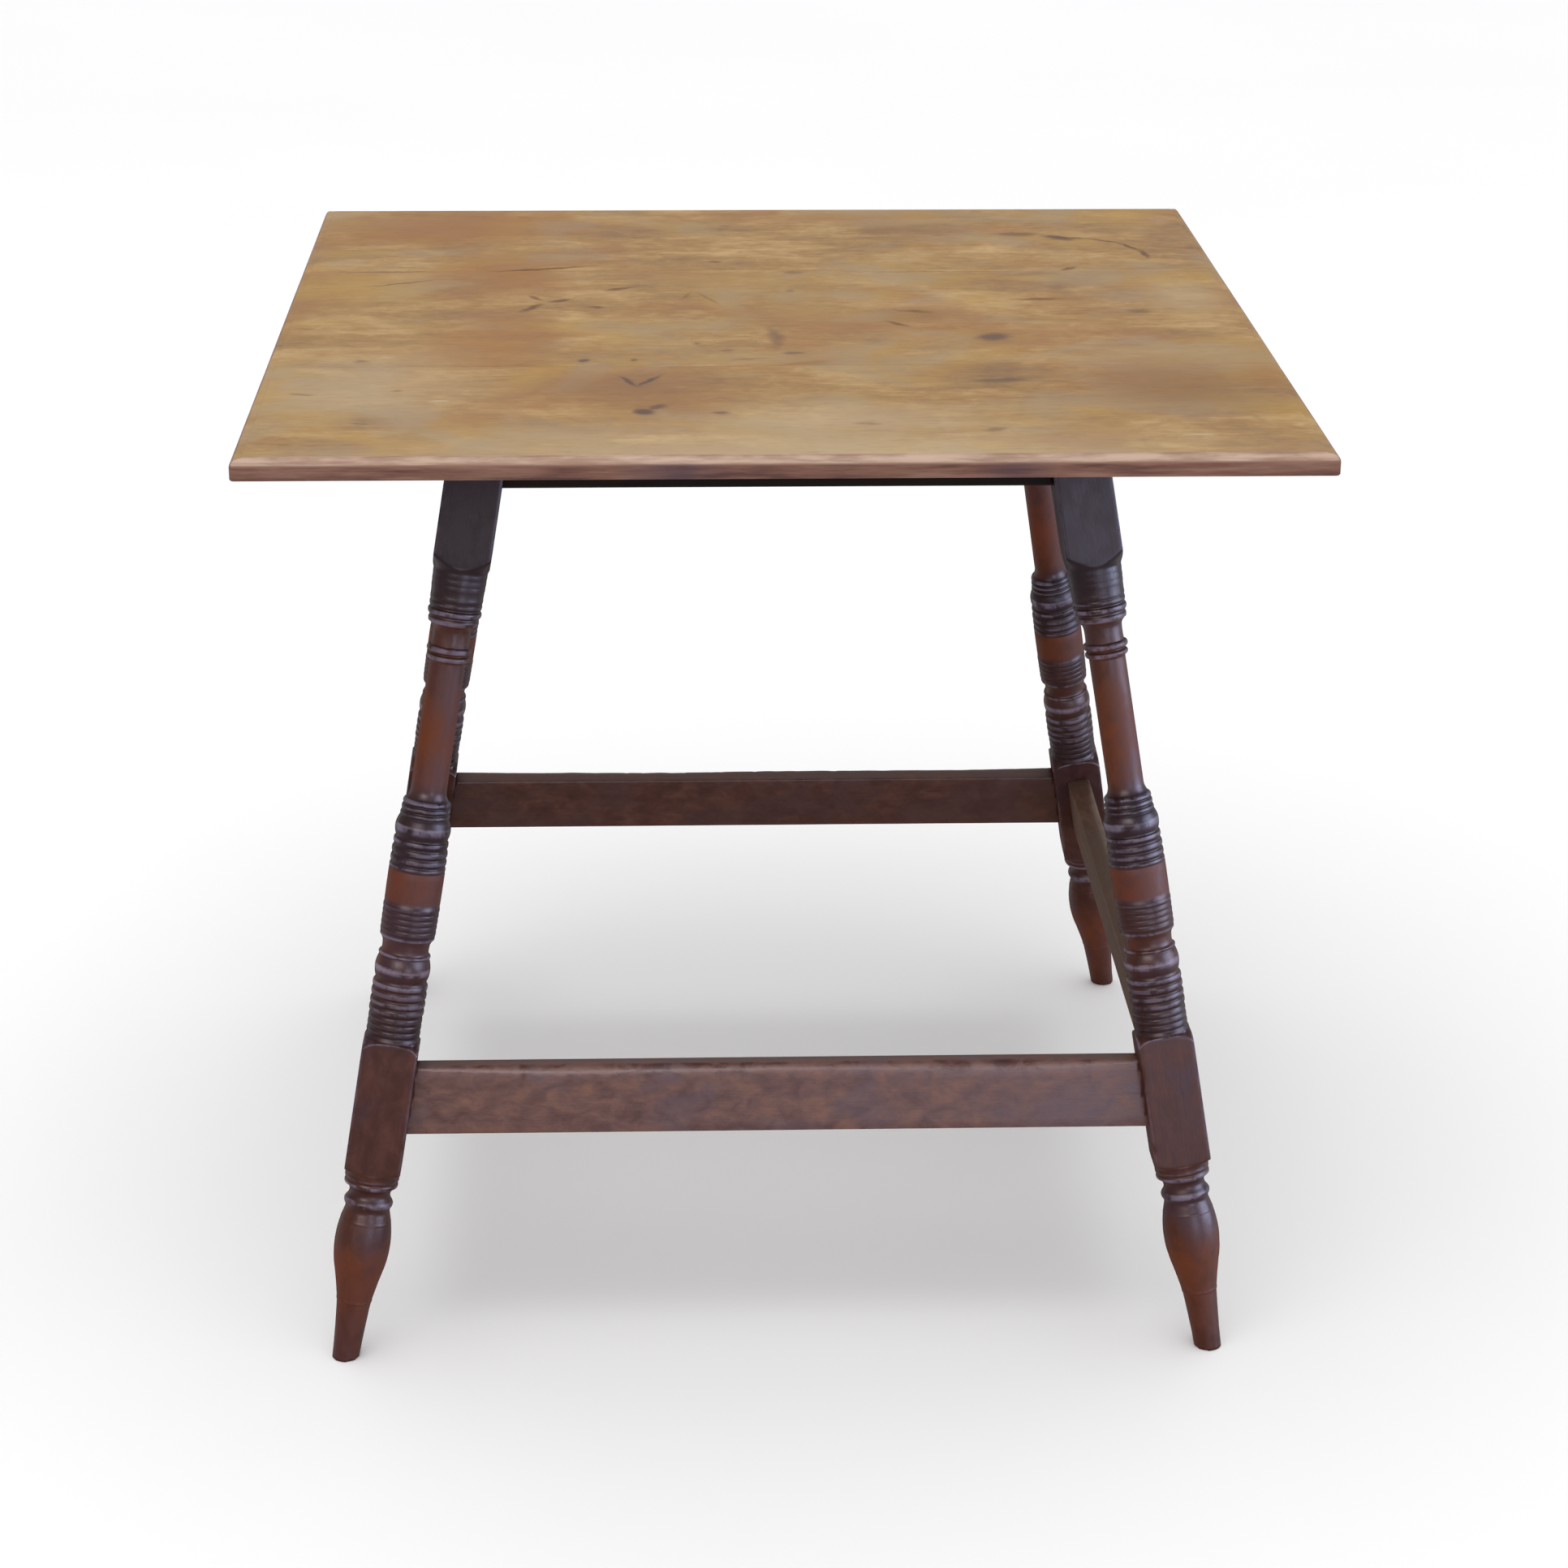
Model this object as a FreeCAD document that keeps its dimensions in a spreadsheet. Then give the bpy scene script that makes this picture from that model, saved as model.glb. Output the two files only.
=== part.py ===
import FreeCAD, Part
import math
import os

import Sketcher

# A square tavern table on four splayed, turned legs.
#
# Frame: millimetres, +Z up, the floor at z = 0, the origin on the floor under the middle of the top.
# The front of the table faces -Y and its right side faces +X.
#
# The frame of the table is the same on all four sides. So one leg is worked out for the front left
# corner and one apron and one stretcher for the front, and each is placed by quarter turns about Z.

doc = FreeCAD.newDocument("tavern_table")

X_AXIS = FreeCAD.Vector(1, 0, 0)
Z_AXIS = FreeCAD.Vector(0, 0, 1)
ORIGIN = FreeCAD.Vector(0, 0, 0)
QUARTER_TURN = 90
FULL_TURN = 360

# ---------------------------------------------------------------- driving sizes

SIZES = {
    # the whole table
    "table_height": 711,
    "top_width": 737,
    "top_depth": 762,
    "top_thick": 15,
    # the three boards of the top, by their share of the depth
    "front_board": 236,
    "rear_board": 229,
    # thumbnail moulding along all four edges of the top
    "mould_inset": 8,
    "mould_quirk": 1,
    "mould_radius": 5,
    # legs: square blank, and how far its middle line stands from the table's centre planes
    "leg_square": 41,
    "leg_top_out": 207.8,
    "leg_floor_out": 322.4,
    "leg_spare": 8,
    # aprons
    "apron_thick": 19,
    "apron_height": 54,
    # stretchers, with their upper outer arris worn round by feet
    "stretcher_thick": 19,
    "stretcher_height": 49,
    "stretcher_middle": 198,
    "stretcher_wear": 6,
    # tenons: how far each starts above the level its rail is placed by, and how tall it is
    "tenon_thick": 7,
    "apron_tenon_rise": 5,
    "apron_tenon_height": 38,
    "stretcher_tenon_rise": -17,
    "stretcher_tenon_height": 34,
    # the square core of the leg that the tenons, and the mortises, leave standing
    "tenon_core": 10,
    "mortise_core": 8,
    # glue blocks rubbed into the corner under the top
    "block_length": 60,
    "block_side": 20,
    "block_nose": 5,
    "block_out": 105,
}

# Sizes that follow from those above.
DERIVED = {
    "underside": "=table_height - top_thick",
    "middle_board": "=top_depth - front_board - rear_board",
    "splay_run": "=leg_floor_out - leg_top_out",
    "leg_line_length": "=sqrt(underside ^ 2 + 2 * splay_run ^ 2)",
    "apron_foot": "=underside - apron_height",
    "apron_out": "=leg_floor_out - splay_run * apron_foot / underside",
    "stretcher_out": "=leg_floor_out - splay_run * stretcher_middle / underside",
}

# The turner's rule for the legs: each mark by its name, height up the leg's middle line and diameter.
# A fourth number is the radius of the round that leads up to the mark from the mark below it. The
# corner marks lie outside the square blank, so that the shoulders run out into its faces in arches.
FOOT_TURNING = (
    ("sole", -6, 19.2),
    ("toe", 44, 25.4),
    ("vase_spring", 72.5, 37.2),
    ("vase_neck", 115, 34, 94),
    ("astragal", 122, 36.2),
    ("astragal_quirk", 128.5, 30),
    ("foot_collar", 136, 39.8),
    ("low_shoulder", 152.5, 39.8),
    ("low_corner", 163, 64),
)
SHAFT_TURNING = (
    ("block_corner", 238, 64),
    ("block_shoulder", 249, 40),
    ("waist_collar", 287.5, 40),
    ("torus_foot", 291.5, 37),
    ("torus_top", 309, 37, 40),
    ("neck_foot", 313, 33.8),
    ("neck_top", 322.5, 33.8),
    ("drum_foot", 325.6, 40),
    ("drum_top", 398, 40),
    ("band_foot", 401.5, 36.6),
    ("band_top", 429, 36.6),
    ("column_foot", 435.5, 26.4),
    ("column_top", 531.5, 26.4),
    ("lower_ring", 534.5, 31.4),
    ("ring_quirk", 538, 28.2),
    ("upper_ring", 541.5, 31.4),
    ("throat_foot", 544.5, 27),
    ("throat_top", 555.5, 27),
    ("cup", 562, 38.4),
    ("top_shoulder", 601, 38.4),
    ("top_corner", 613, 64),
)

sheet = doc.addObject("Spreadsheet::Sheet", "Sizes")
cells = {**SIZES, **DERIVED}
for mark in FOOT_TURNING + SHAFT_TURNING:
    for what, value in zip(("up", "dia", "round"), mark[1:]):
        cells[f"{mark[0]}_{what}"] = value
for row, (name, value) in enumerate(cells.items(), start=1):
    sheet.set(f"A{row}", name)
    sheet.set(f"B{row}", str(value))
    sheet.setAlias(f"B{row}", name)
doc.recompute()


def size(name):
    """A driving or derived size, read from the sheet."""
    return float(getattr(sheet, name))


SPLAY = math.degrees(math.atan2(size("splay_run"), size("underside")))
TILT = math.degrees(math.atan2(size("splay_run") * math.sqrt(2), size("underside")))


def leg_out(height):
    """How far a leg's middle line stands from the centre planes at this height."""
    return size("leg_floor_out") - size("splay_run") * height / size("underside")


# ---------------------------------------------------------------- placements


def quarter_turns(count):
    return FreeCAD.Placement(ORIGIN, FreeCAD.Rotation(Z_AXIS, QUARTER_TURN * count))


def leg_line(turns=0):
    """The leg's own frame: origin where its middle line meets the floor, +Z up that line."""
    out = size("leg_floor_out")
    lean = FreeCAD.Rotation(FreeCAD.Vector(-1, 1, 0), TILT)
    corner = FreeCAD.Placement(FreeCAD.Vector(-out, -out, 0), lean)
    return quarter_turns(turns).multiply(corner)


def rail_plane(height):
    """The front rails' own frame: +X along the rail, +Z up its face, which leans with the legs."""
    place = FreeCAD.Vector(0, -leg_out(height), height)
    return FreeCAD.Placement(place, FreeCAD.Rotation(X_AXIS, -SPLAY))


# ---------------------------------------------------------------- building helpers


def add(kind, label, **properties):
    thing = doc.addObject(kind, label)
    thing.Label = label
    for key, value in properties.items():
        setattr(thing, key, value)
    return thing


def box(label, length, width, height, frame, corner):
    """A box whose sides are expressions on the sheet, its corner at a point of the frame."""
    thing = add("Part::Box", label)
    thing.setExpression("Length", length)
    thing.setExpression("Width", width)
    thing.setExpression("Height", height)
    thing.Placement = frame.multiply(FreeCAD.Placement(corner, FreeCAD.Rotation()))
    return thing


def cut(label, base, *tools):
    """Takes each tool away from the base, one boolean after the other."""
    for count, tool in enumerate(tools, start=1):
        last = count == len(tools)
        base = add("Part::Cut", label if last else f"{label}_cut{count}", Base=base, Tool=tool)
    return base


def plane_of(body, role):
    return next(f for f in body.Origin.OriginFeatures if f.Role == role)


def sketch_on(body, label, role):
    sketch = body.newObject("Sketcher::SketchObject", label)
    sketch.AttachmentSupport = [(plane_of(body, role), "")]
    sketch.MapMode = "FlatFace"
    return sketch


def outline(sketch, marks):
    """A closed outline. Each mark is (x, y, bulge): two expressions, and the signed radius, or None,
    of the arc that leads to the mark from the one before. A positive radius bulges to the left."""
    points = []
    for x, y, _ in marks:
        points.append(FreeCAD.Vector(evaluate(x), evaluate(y), 0))
    curves = []
    for number, (x, y, bulge) in enumerate(marks):
        start = points[number - 1]
        end = points[number]
        if bulge is None:
            curves.append(sketch.addGeometry(Part.LineSegment(start, end), False))
        else:
            curves.append(sketch.addGeometry(arc_between(start, end, evaluate(bulge)), False))
    for number, (x, y, bulge) in enumerate(marks):
        curve = curves[number]
        follower = curves[(number + 1) % len(curves)]
        end_point = arc_end(sketch, curve, points[number])
        start_point = arc_end(sketch, follower, points[number])
        sketch.addConstraint(Sketcher.Constraint("Coincident", curve, end_point, follower, start_point))
        hold(sketch, "DistanceX", x, curve, end_point)
        hold(sketch, "DistanceY", y, curve, end_point)
        if bulge is not None:
            hold(sketch, "Radius", f"abs({bulge})", curve)
    return sketch


def evaluate(expression):
    """The number that an expression on the sheet stands for."""
    return float(sheet.evalExpression(expression.replace("Sizes.", "")))


def arc_between(start, end, radius):
    """The shorter arc between two points, always drawn anticlockwise."""
    if radius > 0:
        start, end = end, start
    chord = end - start
    half = chord.Length / 2
    side = FreeCAD.Vector(chord.y, -chord.x, 0).normalize()
    sagitta = abs(radius) - math.sqrt(radius * radius - half * half)
    return Part.Arc(start, (start + end) / 2 + side * sagitta, end)


def arc_end(sketch, curve, point):
    """1 or 2: which end of the curve lies at the point."""
    here = sketch.Geometry[curve]
    near_start = (here.StartPoint - point).Length < (here.EndPoint - point).Length
    return 1 if near_start else 2


def hold(sketch, kind, expression, curve, end=None):
    """A dimension from the sketch's origin, or a radius, bound to an expression."""
    value = evaluate(expression)
    if kind == "Radius":
        index = sketch.addConstraint(Sketcher.Constraint(kind, curve, value))
    else:
        index = sketch.addConstraint(Sketcher.Constraint(kind, -1, 1, curve, end, value))
    sketch.setExpression(f"Constraints[{index}]", expression)


# ---------------------------------------------------------------- legs

# The level by which each kind of rail is placed.
RAIL_LEVELS = {"apron": "apron_foot", "stretcher": "stretcher_middle"}


def turned_leg(label):
    """A square blank, turned everywhere except at the two blocks that take the rails."""
    body = add("PartDesign::Body", label)
    square = outline(
        sketch_on(body, f"{label}_square", "XY_Plane"),
        [
            ("-Sizes.leg_square / 2", "-Sizes.leg_square / 2", None),
            ("Sizes.leg_square / 2", "-Sizes.leg_square / 2", None),
            ("Sizes.leg_square / 2", "Sizes.leg_square / 2", None),
            ("-Sizes.leg_square / 2", "Sizes.leg_square / 2", None),
        ],
    )
    square.setExpression("AttachmentOffset.Base.z", "Sizes.sole_up")
    blank = body.newObject("PartDesign::Pad", f"{label}_blank")
    blank.Profile = square
    blank.setExpression("Length", "Sizes.leg_line_length - Sizes.sole_up + Sizes.leg_spare")
    doc.recompute()
    for part_name, marks in (("foot", FOOT_TURNING), ("shaft", SHAFT_TURNING)):
        before = body.Shape.Volume
        waste = turning_waste(body, f"{label}_{part_name}_waste", marks)
        groove = body.newObject("PartDesign::Groove", f"{label}_{part_name}_turning")
        groove.Profile = waste
        groove.ReferenceAxis = (waste, ["V_Axis"])
        groove.Angle = FULL_TURN
        doc.recompute()
        assert body.Shape.Volume < before, f"{label}: the {part_name} turning cut nothing"
    return body


def turning_waste(body, label, marks):
    """Half the outline of what the turner takes off: the marks, closed by a line outside the blank."""
    profile = []
    for mark in marks:
        bulge = f"-Sizes.{mark[0]}_round" if len(mark) > 3 else None
        profile.append((f"Sizes.{mark[0]}_dia / 2", f"Sizes.{mark[0]}_up", bulge))
    if marks[0][2] != marks[-1][2]:
        profile.append((f"Sizes.{marks[-1][0]}_dia / 2", f"Sizes.{marks[0][0]}_up", None))
    return outline(sketch_on(body, label, "XZ_Plane"), profile)


def leg_bar(label, side, turns):
    """A square bar on a leg's middle line, widened outwards: it scribes the ends of the rails."""
    width = f"Sizes.{side} / 2 + Sizes.leg_square"
    corner = FreeCAD.Vector(-size("leg_square"), -size("leg_square"), 0)
    return box(label, width, width, "Sizes.table_height + Sizes.leg_square", leg_line(turns), corner)


def tenon_plank(label, rail):
    """One plank that stands for both tenons of a rail, from leg line to leg line."""
    frame = rail_plane(size(RAIL_LEVELS[rail]))
    corner = FreeCAD.Vector(
        -size(f"{rail}_out"), -size("tenon_thick") / 2, size(f"{rail}_tenon_rise")
    )
    length = f"2 * Sizes.{rail}_out"
    return box(label, length, "Sizes.tenon_thick", f"Sizes.{rail}_tenon_height", frame, corner)


def level_slab(label):
    """All the room between the floor and the underside of the top."""
    corner = FreeCAD.Vector(-size("top_width"), -size("top_depth"), 0)
    length = "2 * Sizes.top_width"
    return box(label, length, "2 * Sizes.top_depth", "Sizes.underside", FreeCAD.Placement(), corner)


def leg(label, turns):
    """A turned leg, tilted, cut level at both ends and mortised for the rails on its inner faces."""
    turned = turned_leg(f"{label}_turned")
    turned.Placement = leg_line()
    levelled = add(
        "Part::Common", f"{label}_levelled", Base=turned, Tool=level_slab(f"{label}_slab")
    )
    mortises = []
    for rail in RAIL_LEVELS:
        for count in (0, 1):
            name = f"{label}_{rail}_mortise{count}"
            core = leg_bar(f"{name}_core", "mortise_core", count)
            mortise = cut(name, tenon_plank(f"{name}_plank", rail), core)
            mortise.Placement = quarter_turns(-count)
            mortises.append(mortise)
    finished = cut(label, levelled, *mortises)
    finished.Placement = quarter_turns(turns)
    return finished


# ---------------------------------------------------------------- aprons and stretchers


def scribed(label, board, rail):
    """A rail: its board scribed to the two legs' faces, with the tenons standing past them."""
    between = cut(
        f"{label}_shouldered",
        board,
        leg_bar(f"{label}_left_leg", "leg_square", 0),
        leg_bar(f"{label}_right_leg", "leg_square", 1),
    )
    tenons = cut(
        f"{label}_tenons",
        tenon_plank(f"{label}_plank", rail),
        leg_bar(f"{label}_left_core", "tenon_core", 0),
        leg_bar(f"{label}_right_core", "tenon_core", 1),
    )
    return add("Part::Fuse", label, Base=between, Tool=tenons, Refine=True)


def apron(label, turns):
    """An apron under the top, leaning with the legs, its upper edge planed level."""
    board = box(
        f"{label}_board",
        "2 * Sizes.apron_out",
        "Sizes.apron_thick",
        "Sizes.apron_height + Sizes.leg_spare",
        rail_plane(size("apron_foot")),
        FreeCAD.Vector(-size("apron_out"), -size("apron_thick") / 2, 0),
    )
    levelled = add(
        "Part::Common", f"{label}_levelled", Base=board, Tool=level_slab(f"{label}_slab")
    )
    rail = scribed(label, levelled, "apron")
    rail.Placement = quarter_turns(turns)
    return rail


def stretcher(label, turns):
    """A stretcher low between two legs, its upper outer arris worn round."""
    body = add("PartDesign::Body", f"{label}_board")
    half_thick = "Sizes.stretcher_thick / 2"
    half_height = "Sizes.stretcher_height / 2"
    section = outline(
        sketch_on(body, f"{label}_section", "YZ_Plane"),
        [
            (f"-{half_thick}", f"-{half_height}", None),
            (half_thick, f"-{half_height}", None),
            (half_thick, half_height, None),
            (f"-{half_thick} + Sizes.stretcher_wear", half_height, None),
            (f"-{half_thick}", f"{half_height} - Sizes.stretcher_wear", "-Sizes.stretcher_wear"),
        ],
    )
    length = body.newObject("PartDesign::Pad", f"{label}_length")
    length.Profile = section
    length.setExpression("Length", "2 * Sizes.stretcher_out")
    length.Midplane = True
    body.Placement = rail_plane(size("stretcher_middle"))
    rail = scribed(label, body, "stretcher")
    rail.Placement = quarter_turns(turns)
    return rail


# ---------------------------------------------------------------- the top


MOULD_TOP = "Sizes.top_thick - Sizes.mould_quirk"
MOULD_FOOT = "Sizes.top_thick - Sizes.mould_quirk - Sizes.mould_radius"


def top_board(label, middle, moulded_sides):
    """A board of the top: moulded across both ends, then along the edges that lie outside.
    moulded_sides holds -1 for its front edge and +1 for its rear edge."""
    body = add("PartDesign::Body", f"top_board_{label}")
    width = f"Sizes.{label}_board"
    half = "Sizes.top_width / 2"
    section = outline(
        sketch_on(body, f"{label}_section", "XZ_Plane"),
        [
            (f"-{half}", "0", None),
            (half, "0", None),
            (half, MOULD_FOOT, None),
            (f"{half} - Sizes.mould_radius", MOULD_TOP, "-Sizes.mould_radius"),
            (f"{half} - Sizes.mould_inset", MOULD_TOP, None),
            (f"{half} - Sizes.mould_inset", "Sizes.top_thick", None),
            (f"-{half} + Sizes.mould_inset", "Sizes.top_thick", None),
            (f"-{half} + Sizes.mould_inset", MOULD_TOP, None),
            (f"-{half} + Sizes.mould_radius", MOULD_TOP, None),
            (f"-{half}", MOULD_FOOT, "-Sizes.mould_radius"),
        ],
    )
    plank = body.newObject("PartDesign::Pad", f"{label}_plank")
    plank.Profile = section
    plank.setExpression("Length", width)
    plank.Midplane = True
    doc.recompute()
    for side in moulded_sides:
        before = body.Shape.Volume
        edge = f"{side} * ({width}) / 2"
        waste = outline(
            sketch_on(body, f"{label}_waste", "YZ_Plane"),
            [
                (edge, MOULD_FOOT, None),
                (f"{edge} - {side} * Sizes.mould_radius", MOULD_TOP, f"-{side} * Sizes.mould_radius"),
                (f"{edge} - {side} * Sizes.mould_inset", MOULD_TOP, None),
                (f"{edge} - {side} * Sizes.mould_inset", "2 * Sizes.top_thick", None),
                (edge, "2 * Sizes.top_thick", None),
            ],
        )
        mould = body.newObject("PartDesign::Pocket", f"{label}_moulding")
        mould.Profile = waste
        mould.Type = "ThroughAll"
        mould.Midplane = True
        doc.recompute()
        assert body.Shape.Volume < before, f"{label}: the moulding cut nothing"
    body.Placement = FreeCAD.Placement(FreeCAD.Vector(0, middle, size("underside")), FreeCAD.Rotation())
    return body


# ---------------------------------------------------------------- glue blocks


def glue_block(label, turns, out):
    """A rubbed glue block: one face on the underside of the top, one on the apron's inner face."""
    body = add("PartDesign::Body", label)
    foot = "-Sizes.block_side * Sizes.splay_run / Sizes.underside"
    section = outline(
        sketch_on(body, f"{label}_section", "YZ_Plane"),
        [
            ("0", "0", None),
            (foot, "-Sizes.block_side", None),
            (f"{foot} + Sizes.block_nose", "-Sizes.block_side", None),
            ("Sizes.block_side", "-Sizes.block_nose", None),
            ("Sizes.block_side", "0", None),
        ],
    )
    length = body.newObject("PartDesign::Pad", f"{label}_length")
    length.Profile = section
    length.setExpression("Length", "Sizes.block_length")
    length.Midplane = True
    inner_face = size("apron_thick") / 2 / math.cos(math.radians(SPLAY)) - size("leg_top_out")
    corner = FreeCAD.Vector(out, inner_face, size("underside"))
    at_front = FreeCAD.Placement(corner, FreeCAD.Rotation())
    body.Placement = quarter_turns(turns).multiply(at_front)
    return body


# ---------------------------------------------------------------- assembly

SIDES = ("front", "right", "back", "left")
CORNERS = ("leg_front_left", "leg_front_right", "leg_back_right", "leg_back_left")

parts = {}
for turns, corner_name in enumerate(CORNERS):
    parts[corner_name] = leg(corner_name, turns)
for turns, side_name in enumerate(SIDES):
    parts[f"apron_{side_name}"] = apron(f"apron_{side_name}", turns)
    parts[f"stretcher_{side_name}"] = stretcher(f"stretcher_{side_name}", turns)
    for hand, sign in (("a", -1), ("b", 1)):
        block_name = f"glue_block_{side_name}_{hand}"
        parts[block_name] = glue_block(block_name, turns, sign * size("block_out"))

half_depth = size("top_depth") / 2
boards = {
    "front": (size("front_board") / 2 - half_depth, (-1,)),
    "middle": ((size("front_board") - size("rear_board")) / 2, ()),
    "rear": (half_depth - size("rear_board") / 2, (1,)),
}
for label, (middle, moulded_sides) in boards.items():
    parts[f"top_board_{label}"] = top_board(label, middle, moulded_sides)

doc.recompute()

# ---------------------------------------------------------------- check and export

for thing in doc.Objects:
    bad = [state for state in thing.State if state in ("Invalid", "Error")]
    assert not bad, f"{thing.Label}: {bad}"

os.makedirs("parts", exist_ok=True)
for node, thing in parts.items():
    assert not thing.Shape.isNull() and thing.Shape.isValid(), node
    assert len(thing.Shape.Solids) == 1, node
    thing.Shape.exportStep(os.path.join("parts", f"{node}.step"))
print(f"{len(parts)} nodes, legs tilted {TILT:.2f} degrees")
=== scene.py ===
# %% [markdown]
# # A tavern table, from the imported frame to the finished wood
#
# The table has a moulded top of three boards, four splayed legs that were turned on a lathe, and two
# square rings of rails: aprons under the top and stretchers near the floor. The frame that this
# lesson loads holds all of them as plain solids in their true places. So every visible piece here is
# cut to the same sizes, and gets what a plain solid lacks: fine rings, rounded and worn arrises,
# grain that runs the right way through the timber, and a finish that a century of use has changed.

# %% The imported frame
import math

import bmesh
import bpy
from mathutils import Matrix, Vector, noise


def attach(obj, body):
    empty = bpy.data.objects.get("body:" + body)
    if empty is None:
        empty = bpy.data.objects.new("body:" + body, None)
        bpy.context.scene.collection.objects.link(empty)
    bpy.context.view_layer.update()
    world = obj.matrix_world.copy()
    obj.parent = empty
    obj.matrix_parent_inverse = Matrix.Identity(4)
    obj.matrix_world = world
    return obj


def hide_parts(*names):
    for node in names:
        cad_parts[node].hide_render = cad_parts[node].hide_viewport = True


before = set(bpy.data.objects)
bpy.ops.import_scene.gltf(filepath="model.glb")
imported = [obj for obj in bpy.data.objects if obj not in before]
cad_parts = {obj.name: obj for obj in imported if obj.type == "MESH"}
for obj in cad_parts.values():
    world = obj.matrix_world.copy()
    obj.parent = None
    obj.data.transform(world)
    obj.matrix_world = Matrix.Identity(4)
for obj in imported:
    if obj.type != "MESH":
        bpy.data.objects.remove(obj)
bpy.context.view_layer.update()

MM = 0.001
print("packed pieces:", len(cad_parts))

# %% [markdown]
# ## The camera
#
# The camera stands in front of the table, a little to its left and well above the top, and looks
# down about twenty degrees through a long lens. A long lens from far away keeps the legs' splay from
# being exaggerated. A small shift of the lens puts the table where it belongs in the square picture.

# %% Set up the camera
EYE = Vector((-91, -2601, 1365)) * MM
TURNED_RIGHT = math.radians(1.93)
LOOKING_DOWN = math.radians(20.64)
TIPPED = math.radians(0.26)
LENS = 80.3
LENS_SHIFT = (0.0139, -0.0431)
RIGHT_ANGLE = math.radians(90)

camera = bpy.data.objects.new("camera", bpy.data.cameras.new("camera"))
bpy.context.scene.collection.objects.link(camera)
camera.data.lens = LENS
camera.data.shift_x, camera.data.shift_y = LENS_SHIFT
aim = Matrix.Rotation(-TURNED_RIGHT, 4, "Z") @ Matrix.Rotation(RIGHT_ANGLE - LOOKING_DOWN, 4, "X")
camera.matrix_world = Matrix.Translation(EYE) @ aim @ Matrix.Rotation(TIPPED, 4, "Z")
bpy.context.scene.camera = camera
print("camera stands", round(EYE.length, 2), "m from the table's foot")

# %% [markdown]
# ## The studio
#
# Dark polished wood is seen by what it reflects. A wide soft light above lights the table, and three
# reflecting cards only draw the shine on the dark legs and rails: a warm one beside the camera for
# the ridges that face it, a strong cool one to the right for the blue-grey lines down the turnings,
# and a small low one that the right leg mirrors. The sky is pale at the horizon, dimmer above it so
# that the top keeps its colour when it is seen at a low angle, and bright overhead.

# %% Hang the lights
TABLE_MIDDLE = Vector((0, 0, 0.4))
# Each light: its name, where it hangs and its width and height in metres, its power, its colour.
CEILING_LIGHT = ("ceiling_light", (-0.6, -1.4, 3.2), 2.6, 2.6, 20, (1.0, 0.97, 0.93))
CARDS = (
    ("warm_card", (-1.2, -3.2, 2.2), 2.2, 1.3, 260, (1.0, 0.90, 0.93)),
    ("cool_card", (2.9, -0.9, 1.1), 2.2, 2.2, 470, (0.60, 0.70, 1.0)),
    ("low_card", (1.2, -3.2, 0.45), 1.1, 1.1, 110, (0.74, 0.76, 1.0)),
)


def light_sheet(name, place, width, height, power, colour):
    """A soft rectangular light that faces the middle of the table."""
    light = bpy.data.lights.new(name, "AREA")
    light.shape = "RECTANGLE"
    light.size = width
    light.size_y = height
    light.energy = power
    light.color = colour
    holder = bpy.data.objects.new(name, light)
    holder.location = place
    holder.rotation_euler = (TABLE_MIDDLE - Vector(place)).to_track_quat("-Z", "Y").to_euler()
    holder.visible_camera = False
    bpy.context.scene.collection.objects.link(holder)
    return holder


polished = bpy.data.collections.new("polished")


def reflecting_card(name, place, width, height, power, colour):
    """A light sheet that is only seen as a reflection, and only in the dark polish."""
    card = light_sheet(name, place, width, height, power, colour)
    card.visible_diffuse = False
    card.light_linking.receiver_collection = polished


light_sheet(*CEILING_LIGHT)
for card in CARDS:
    reflecting_card(*card)

# %% Spread the sky
# How bright the sky is at each height, from 0 at the horizon to 1 overhead.
SKY_RULE = ((0.0, 0.94), (0.2, 0.90), (0.34, 0.40), (1.0, 1.62))

sky = bpy.data.worlds.new("pale_sky")
sky.use_nodes = True
sky_nodes = sky.node_tree.nodes
looked_at = sky_nodes.new("ShaderNodeTexCoord")
split_up = sky_nodes.new("ShaderNodeSeparateXYZ")
shades = sky_nodes.new("ShaderNodeValToRGB")
while len(shades.color_ramp.elements) < len(SKY_RULE):
    shades.color_ramp.elements.new(0.5)
for element, (height, bright) in zip(shades.color_ramp.elements, SKY_RULE):
    element.position = height
    element.color = (bright, bright, bright, 1.0)
sky.node_tree.links.new(looked_at.outputs["Generated"], split_up.inputs[0])
sky.node_tree.links.new(split_up.outputs["Z"], shades.inputs["Fac"])
sky.node_tree.links.new(shades.outputs["Color"], sky_nodes["Background"].inputs["Color"])
bpy.context.scene.world = sky
bpy.context.scene.view_settings.view_transform = "Standard"

# %% Lay the floor
FLOOR_REACH = 30.0
floor_shape = bmesh.new()
bmesh.ops.create_grid(floor_shape, x_segments=2, y_segments=2, size=FLOOR_REACH)
floor_mesh = bpy.data.meshes.new("floor")
floor_shape.to_mesh(floor_mesh)
floor_shape.free()
floor = bpy.data.objects.new("floor", floor_mesh)
bpy.context.scene.collection.objects.link(floor)
print("floor reaches", FLOOR_REACH, "m out")

# %% [markdown]
# ## What every piece needs
#
# A piece is a mesh made point by point. Each point also remembers where it lies in its own plank:
# how far along the grain, across it and through it. The finishes read that "grain" place, so the
# figure runs along each plank whichever way the plank points, and it wraps round a turned leg as it
# does when a lathe cuts into solid timber. Five more numbers go with each point. "Wear" is high on
# arrises and ridges, where the legs' finish also paints sheen, and below zero in grooves, and
# "rubbed" says how far the dark stain has gone; below zero it darkens the wood, and up the top blocks
# that darkening is painted shade. On the top, "moulded", "edge" and "under" mark the moulding, which
# is painted pale at the front and back, partly wear and partly a painted highlight, the red edge,
# which also paints shade over the sides' round, and the bare underside.

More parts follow.
